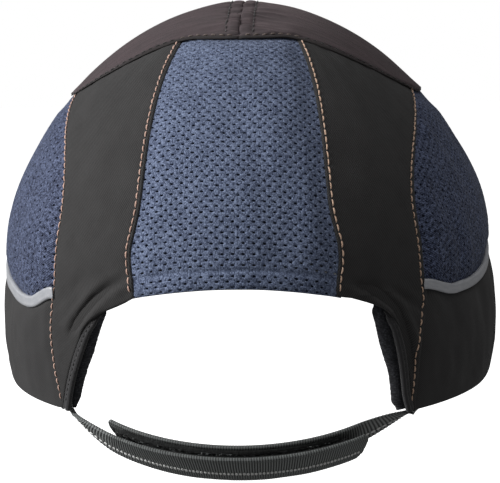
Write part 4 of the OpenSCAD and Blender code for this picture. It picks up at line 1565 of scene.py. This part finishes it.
def build_neck_pad(side):
    s, t = spaced(34, 0.6), spaced(40, 0.6)
    S, T = np.meshgrid(s, t)
    z = mix(-7.4, -51.2, T)
    corner = 1.2 * (ease(0.10, 0, T) + ease(0.92, 1, T)) * ease(0.3, 0, S)
    table = (
        ((7.4, 9, 16.5, 27, 38, 49), (29.6, 30.3, 32.2, 34.6, 38.3, 42)) if side == LEFT
        else ((5, 25, 37, 46, 50), (30.7, 33.0, 35.6, 36.9, 37.5))
    )
    first = np.interp(-z, *table)
    A = mix(first + corner, 57.3 - corner * 0.4, S)
    pillow(
        "neck_pad_%s_fleece" % SIDES[side], side, A, level_at(z), 3.45, 4.3, "fleece",
        ["neck_pad_" + SIDES[side]], 0.35, 2.6, 0.28, 1.1, seed=301 + side
    )


for side in (LEFT, RIGHT):
    build_neck_pad(side)


def build_sweatband():
    s = spaced(400, 1.5)
    t = spaced(52, 1.2)
    top = lambda a: level_at(5.3 + 0 * a)
    bottom = lambda a: level_at(hem_z(mirror_angle(a)) + 1.7)
    A, Q = patch_grid(58.8, 301.2, top, bottom, s, t)
    channel = (
        lambda u, v, A, Q: 0.55 * np.exp(-(((v - 4.0) / 0.8) ** 2)) + 0.35 * noise(u / 14, v / 30, 311)
    )
    ob, inner = pillow(
        "sweatband_terry", RIGHT, A, Q, PAD_INSET - 0.1, BAND_T + 0.3, "terry", ["sweatband"], 0.3, 2.2,
        0.26, 0.9, seed=312, quilt=channel
    )
    k = int(np.argmin(np.abs(t * 52 - 4.0)))
    stitches(
        "sweatband_thread", [resample(inner[k, 2:-2], 0.7)], [ob.name], "dark_thread", 2.6, 3.3, 0.25,
        seed=313
    )


build_sweatband()


def disc_grid(n, reach):
    w = np.linspace(-1, 1, n)
    u, v = np.meshgrid(w, w[::-1])
    x, y = u * np.sqrt(1 - v * v / 2), v * np.sqrt(1 - u * u / 2)
    r = np.hypot(x, y)
    angle = np.where(r < 1e-4, 0, np.degrees(np.arctan2(x, -y)))
    return angle, np.maximum(r, 1e-4) * reach


def build_shell():
    n = 18
    A, Q = disc_grid(n + 1, 0.92)
    P = cap_point(A, Q)
    N = unit(cap_point(A, Q, -1.0) - P)
    i, j = np.meshgrid(np.arange(n), np.arange(n), indexing="ij")
    vent = (i % 4 == 1) & (j % 2 == 1) & (np.minimum(i, j) > 2) & (np.maximum(i, j) < n - 3)
    cols = n + 1
    count = cols * cols
    over = (i * cols + j)[~vent]
    quads = [np.stack([over, over + cols, over + cols + 1, over + 1], -1)]
    quads.append(quads[0][:, ::-1] + count)
    solid = np.pad(~vent, 1)
    for di, dj, p0, p1 in (
        (-1, 0, (0, 0), (0, 1)), (1, 0, (1, 1), (1, 0)), (0, -1, (1, 0), (0, 0)), (0, 1, (0, 1), (1, 1))
    ):
        edge = solid[1:-1, 1:-1] & ~solid[1 + di : n + 1 + di, 1 + dj : n + 1 + dj]
        a = ((i + p0[0]) * cols + j + p0[1])[edge]
        b = ((i + p1[0]) * cols + j + p1[1])[edge]
        quads.append(np.stack([b, a, a + count, b + count], -1))
    ribs = 0.30 * np.cos(np.radians(A * 6)) * ease(0.2, 0.5, Q) * ease(0.92, 0.8, Q)
    outer = P - N * (SHELL_INSET + 0.02)
    inner = P - N * (SHELL_INSET + SHELL_T - 0.05 + 0.10 * ribs)[..., None]
    verts = np.concatenate([outer.reshape(-1, 3), inner.reshape(-1, 3)])
    ob = mesh_object("bump_shell_abs", verts, [np.concatenate(quads)], M["shell"])
    bm = bmesh.new()
    bm.from_mesh(ob.data)
    crease = bm.edges.layers.float.get("crease_edge") or bm.edges.layers.float.new("crease_edge")
    for e in bm.edges:
        if len(e.link_faces) == 2 and e.calc_face_angle(0) > 1.0:
            e[crease] = 0.45
    bmesh.ops.recalc_face_normals(bm, faces=bm.faces)
    bm.to_mesh(ob.data)
    bm.free()
    sub = ob.modifiers.new("round", "SUBSURF")
    sub.levels = sub.render_levels = 3
    bpy.context.view_layer.update()
    done = bpy.data.meshes.new_from_object(ob.evaluated_get(bpy.context.evaluated_depsgraph_get()))
    ob.modifiers.clear()
    ob.data = done
    ob.data.shade_smooth()
    place_piece(ob, "cap", "shell", "bump_shell")


build_shell()


def build_foam():
    A, Q = disc_grid(72, 0.4)
    ring = lambda u, v, A, Q: 1.1 * np.exp(-((np.abs(Q - 0.2) * 150 / 1.3) ** 2))
    pillow(
        "crown_pad_foam", RIGHT, A, Q, PAD_INSET + 0.5, PAD_T, "foam", ["crown_pad"], 0.12, 1.8, 0.03,
        2.0, seed=321, quilt=ring
    )
    for name, a0, a1, q0, q1, side in (
        ("front_pad", 150, 210, 0.60, 0.88, RIGHT),
        ("rear_pad", -28, 28, 0.55, 0.84, RIGHT),
        ("side_pad_right", 62, 118, 0.58, 0.86, RIGHT),
        ("side_pad_left", 62, 118, 0.58, 0.86, LEFT),
    ):
        s, t = spaced(80, 1.3), spaced(42, 1.2)
        S, T = np.meshgrid(s, t)
        A, Q = mix(a0, a1, S), mix(q0, q1, T)
        slot_line = (
            lambda u, v, A, Q: 1.0 * (np.exp(-((u / 1.4) ** 2)) + np.exp(-(((np.abs(u) - 16) / 1.4) ** 2)))
            * ease(4, 8, v) * ease(38, 34, v)
        )
        pillow(
            name + "_foam", side, A, Q, PAD_INSET, PAD_T, "foam", [name], 0.12, 1.8, 0.03, 2.0,
            seed=331, quilt=slot_line
        )


build_foam()


def strip_sheet(name, outer, inner, paint, node, side=RIGHT):
    u, v = lengths(outer)
    verts, faces, index = sheet_mesh(outer, inner, 0.3)
    cloth = np.stack([u, v, 0 * u], -1).reshape(-1, 3)[index]
    ob = mesh_object(name, verts, faces, M[paint], cloth, side)
    turn_outward(ob)
    skin = inner.reshape(-1, 3) * [side, 1, 1]
    surfaces[name] = BVHTree.FromPolygons(skin.tolist(), grid_quads(*inner.shape[:2]).tolist())
    place_piece(ob, "cap", paint, node)
    return ob


def build_seam_tape():
    w = spaced(10, 0.8, near=(0, 0.3, 0.7)) * 10 - 5
    v = np.linspace(-1, 1, 190)
    angle = np.where(v > 0, 180.0, 0.0)
    q = np.maximum(np.abs(v) * (crown_level(angle) - 0.02), 1e-4)
    def face(inset):
        middle = cap_point(angle, q, inset)
        return middle[:, None] + w[None, :, None] * np.array([1.0, 0, 0])
    edge = 0.10 * ease(4.4, 5, np.abs(w))[None, :, None] * np.array([0, 0, -1.0])
    run = np.linspace(0, 120, 190)[:, None, None]
    rib = 0.035 * np.cos(run * 2 * math.pi / 1.6) * np.array([0, 0, 1.0])
    strip_sheet(
        "crown_seam_tape_woven", face(1.66) + edge, face(2.03) + rib - edge, "tape", "crown_seam_tape",
    )


def build_arch_hem():
    a = np.linspace(-20.3, 20.3, 130)
    lift = spaced(6.9, 0.6, near=(0, 0.3, 0.7)) * 6.9
    L, A = np.meshgrid(lift[::-1], a, indexing="ij")
    Q = level_at(arch_z(np.abs(A)) + L)
    ripple = 0.05 * noise(A * 1.7 / 1.1, L / 1.1, 341)
    roll = 0.18 * (ease(0.8, 0, L) + ease(6.1, 6.9, L))
    strip_sheet(
        "arch_hem_knit", cap_point(A, Q, 1.32 + roll), cap_point(A, Q, 1.98 - roll + ripple), "side_knit",
        "arch_hem"
    )


def build_strap_tab(side):
    a = np.linspace(41.5, 46.5, 22)
    h = np.linspace(11, -1.2, 70)
    H, A = np.meshgrid(h, a, indexing="ij")
    across = (A - 41.5) / 5
    lean = ease(5.4, 0.3, H) * 4 * across
    rib = 0.07 * np.cos(H * 2 * math.pi / RIB)
    Q = level_at(H - HEM_DROP)
    # Rib crests high and grooves low, read by the webbing paint as a painted highlight and painted shade.
    tone = 0.5 + 0.5 * np.cos(H * 2 * math.pi / RIB)
    outer, inner = cap_point(A, Q, 1.62 + lean - rib * 0.5), cap_point(A, Q, 2.78 + lean + rib)
    u, v = lengths(outer)
    verts, faces, index = sheet_mesh(outer, inner, 0.3)
    cloth = np.stack([v, u, tone], -1).reshape(-1, 3)[index]
    ob = mesh_object("strap_tab_%s_webbing" % SIDES[side], verts, faces, M["webbing"], cloth, side)
    place_piece(ob, "cap", "webbing", "strap_tab_" + SIDES[side])


build_seam_tape()
build_arch_hem()
for side in (LEFT, RIGHT):
    build_strap_tab(side)


# --- Peak ----------------------------------------------------------------------------------------


def peak_inner(s):
    a = 180 - 50 * s
    p = cap_point(a, 1.0, 2.6)
    return np.stack([p[..., 0], p[..., 1], hem_z(180 - 50 * np.abs(s)) - 0.5], -1)


def peak_outer(s):
    rise = (cosd(80 * s) - cosd(80)) / (1 - cosd(80))
    z = peak_inner(s)[..., 2] - (7 * (1 - s * s) + 20 * s * s * (1 - s * s))
    return np.stack([73 * sind(80 * s) / sind(80), 72 + 94 * rise, z], -1)


def peak_grid(s, t, drop):
    S, T = np.meshgrid(s, t)
    a, b = peak_inner(S), peak_outer(S)
    room = 2.6 / np.linalg.norm(b - a, axis=-1)
    p = mix(a, b, (T * (1 - room))[..., None])
    p[..., 2] += 12 * T * (1 - T) * (1 - S * S) - drop
    return p, S, T, np.linalg.norm(b - a, axis=-1)


def build_peak():
    s = np.linspace(-0.95, 0.95, 150)
    t = np.linspace(0, 1, 64)
    for name, top, low, sign in (("peak_cover_top", 0.0, 0.9, 1), ("peak_cover_under", 3.0, 3.9, -1)):
        a, S, T, L = peak_grid(s, t, top)
        b = peak_grid(s, t, low)[0]
        edge = (1 - T) * L
        rows = sum(np.exp(-(((edge - d) / 0.7) ** 2)) for d in PEAK_ROWS)
        ripple = 0.12 * noise(S * 22, T * 10, 351) - 0.26 * rows
        if sign > 0:
            a[..., 2] += ripple - 0.02
        else:
            b[..., 2] -= ripple - 0.02
        verts, faces, index = sheet_mesh(a, b, 0.3)
        u, v = lengths(a)
        cloth = np.stack([u, v, 0 * u], -1).reshape(-1, 3)[index]
        ob = mesh_object(name + "_cloth", verts, faces, M["twill"], cloth)
        turn_outward(ob)
        place_piece(ob, "cap", "twill", name)
        skin = a if sign > 0 else b
        surfaces[ob.name] = BVHTree.FromPolygons(
            skin.reshape(-1, 3).tolist(), grid_quads(*skin.shape[:2]).tolist()
        )
        lines = []
        for d in PEAK_ROWS:
            sr = np.linspace(-0.90, 0.90, 300)
            L1 = np.linalg.norm(peak_outer(sr) - peak_inner(sr), axis=-1)
            keep = L1 > d + 6
            tt = np.clip(1 - d / L1, 0.02, 1)
            p = mix(peak_inner(sr), peak_outer(sr), (tt * (1 - 2.6 / L1))[:, None])
            p[:, 2] += 12 * tt * (1 - tt) * (1 - sr * sr) - (0.0 if sign > 0 else 3.9)
            lines.append(resample(p[keep], 0.6))
        stitches(name + "_thread", lines, [ob.name], "dark_thread", 2.4, 3.1, 0.24, seed=352 + sign)


def build_peak_binding():
    s = np.linspace(-0.95, 0.95, 240)
    path = peak_outer(s) - [0, 0, 1.95]
    lifts = np.tile([0, 0, 1.0], (len(s), 1))
    turn = np.linspace(0, 2 * math.pi, 30, endpoint=False)
    ripple = noise(walk(path) / 2.2, 0, 361)

    def profile(k):
        up = 2.32 * np.sign(np.sin(turn)) * np.abs(np.sin(turn)) ** 0.8
        out = 1.36 * np.cos(turn)
        groove = 0.22 * np.exp(-((out / 0.4) ** 2)) * np.sign(up)
        return np.stack([up - groove, out * (1 + 0.04 * ripple[k])], -1)

    name = "peak_binding_tape"
    sweep(name, path, lifts, profile, "tape", RIGHT, "peak_binding")
    line = resample(path + [0, 0, 2.2], 0.6)
    stitches("peak_binding_thread", [line], [name], "dark_thread", 2.0, 2.6, 0.22, lift=0.05, seed=362)


build_peak()
build_peak_binding()


def build_board():
    s, t = spaced(180, 2.0) * 1.876 - 0.938, spaced(95, 2.0) * 0.975 + 0.008
    a, S, T, L = peak_grid(s, t, 1.08)
    b = peak_grid(s, t, 2.82)[0]
    rib = 0.10 * np.cos(S * L.max() / 1.1) * ease(0.02, 0.1, T) * ease(1, 0.93, T)
    a[..., 2] -= 0.05 + np.abs(rib) * 0.4
    verts, faces, _ = sheet_mesh(a, b, 0.4)
    ob = mesh_object("peak_board_plate", verts, faces, M["board"])
    turn_outward(ob)
    place_piece(ob, "cap", "board", "peak_board")


build_board()


# --- Stage, camera and light ---------------------------------------------------------------------


def build_stage():
    size = 2.4
    me = bpy.data.meshes.new("floor")
    n = 24
    g = np.linspace(-size, size, n)
    X, Y = np.meshgrid(g, g)
    v = np.stack([X.ravel(), Y.ravel() + 0.3, 0 * X.ravel()], -1)
    quads = grid_quads(n, n)[:, ::-1]
    me.from_pydata(v.tolist(), [], quads.tolist())
    ob = bpy.data.objects.new("floor", me)
    bpy.context.scene.collection.objects.link(ob)
    p = Paint("floor_paper", 0.9, Specular_IOR_Level=0.1)
    tone = p.noise(p.place(), 40.0, 3.0)
    p.bsdf.inputs["Emission Color"].default_value = (1, 1, 1, 1)
    p.bsdf.inputs["Emission Strength"].default_value = 0.82
    me.materials.append(
        p.finish(p.blend(tone, (0.90, 0.90, 0.90), (0.93, 0.93, 0.93)), p.ramp(tone, 0, 1, 0.85, 0.95),
        tone, 0.02)
    )
    ob.location.z = -0.150
    ob.visible_diffuse = ob.visible_glossy = ob.visible_transmission = False


def build_camera():
    a, e, r = math.radians(3.0), math.radians(9.5), math.radians(-0.961)
    back = Vector((math.sin(a) * math.cos(e), -math.cos(a) * math.cos(e), math.sin(e)))
    across = Vector((math.cos(a), math.sin(a), 0))
    up = back.cross(across)
    right = across * math.cos(r) + up * math.sin(r)
    top = up * math.cos(r) - across * math.sin(r)
    cam = bpy.data.cameras.new("camera")
    cam.sensor_width = 36
    cam.lens = 109.2
    cam.shift_x = 0.0023
    cam.shift_y = 0.001
    cam.clip_start, cam.clip_end = 0.02, 20
    ob = bpy.data.objects.new("camera", cam)
    bpy.context.scene.collection.objects.link(ob)
    m = ob.matrix_world.copy()
    for k in range(3):
        m[k][0], m[k][1], m[k][2], m[k][3] = right[k], top[k], back[k], back[k] * 0.620
    ob.matrix_world = m
    bpy.context.scene.camera = ob


def area_light(name, at, target, size, power, colour=(1, 1, 1)):
    data = bpy.data.lights.new(name, "AREA")
    data.shape = "RECTANGLE"
    data.size, data.size_y = size
    data.energy = power
    data.color = colour
    ob = bpy.data.objects.new(name, data)
    bpy.context.scene.collection.objects.link(ob)
    ob.location = at
    ob.rotation_euler = (Vector(target) - Vector(at)).to_track_quat("-Z", "Y").to_euler()


def build_light():
    world = bpy.data.worlds.new("studio")
    bpy.context.scene.world = world
    world.use_nodes = True
    nodes, links = world.node_tree.nodes, world.node_tree.links
    bg = nodes["Background"]
    bg.inputs["Color"].default_value = (1, 1, 1, 1)
    backdrop = nodes.new("ShaderNodeMapRange")
    backdrop.inputs[3].default_value, backdrop.inputs[4].default_value = 0.19, 1.0
    links.new(nodes.new("ShaderNodeLightPath").outputs["Is Camera Ray"], backdrop.inputs[0])
    links.new(backdrop.outputs[0], bg.inputs["Strength"])
    area_light("key", (-1.05, -0.42, 0.48), (0, -0.03, 0.0), (0.5, 0.5), 17.0)
    area_light("top", (0.10, -0.25, 1.1), (0, 0, 0.05), (0.8, 0.8), 3.0)
    bpy.context.scene.view_settings.view_transform = "Standard"


build_stage()
build_camera()
build_light()
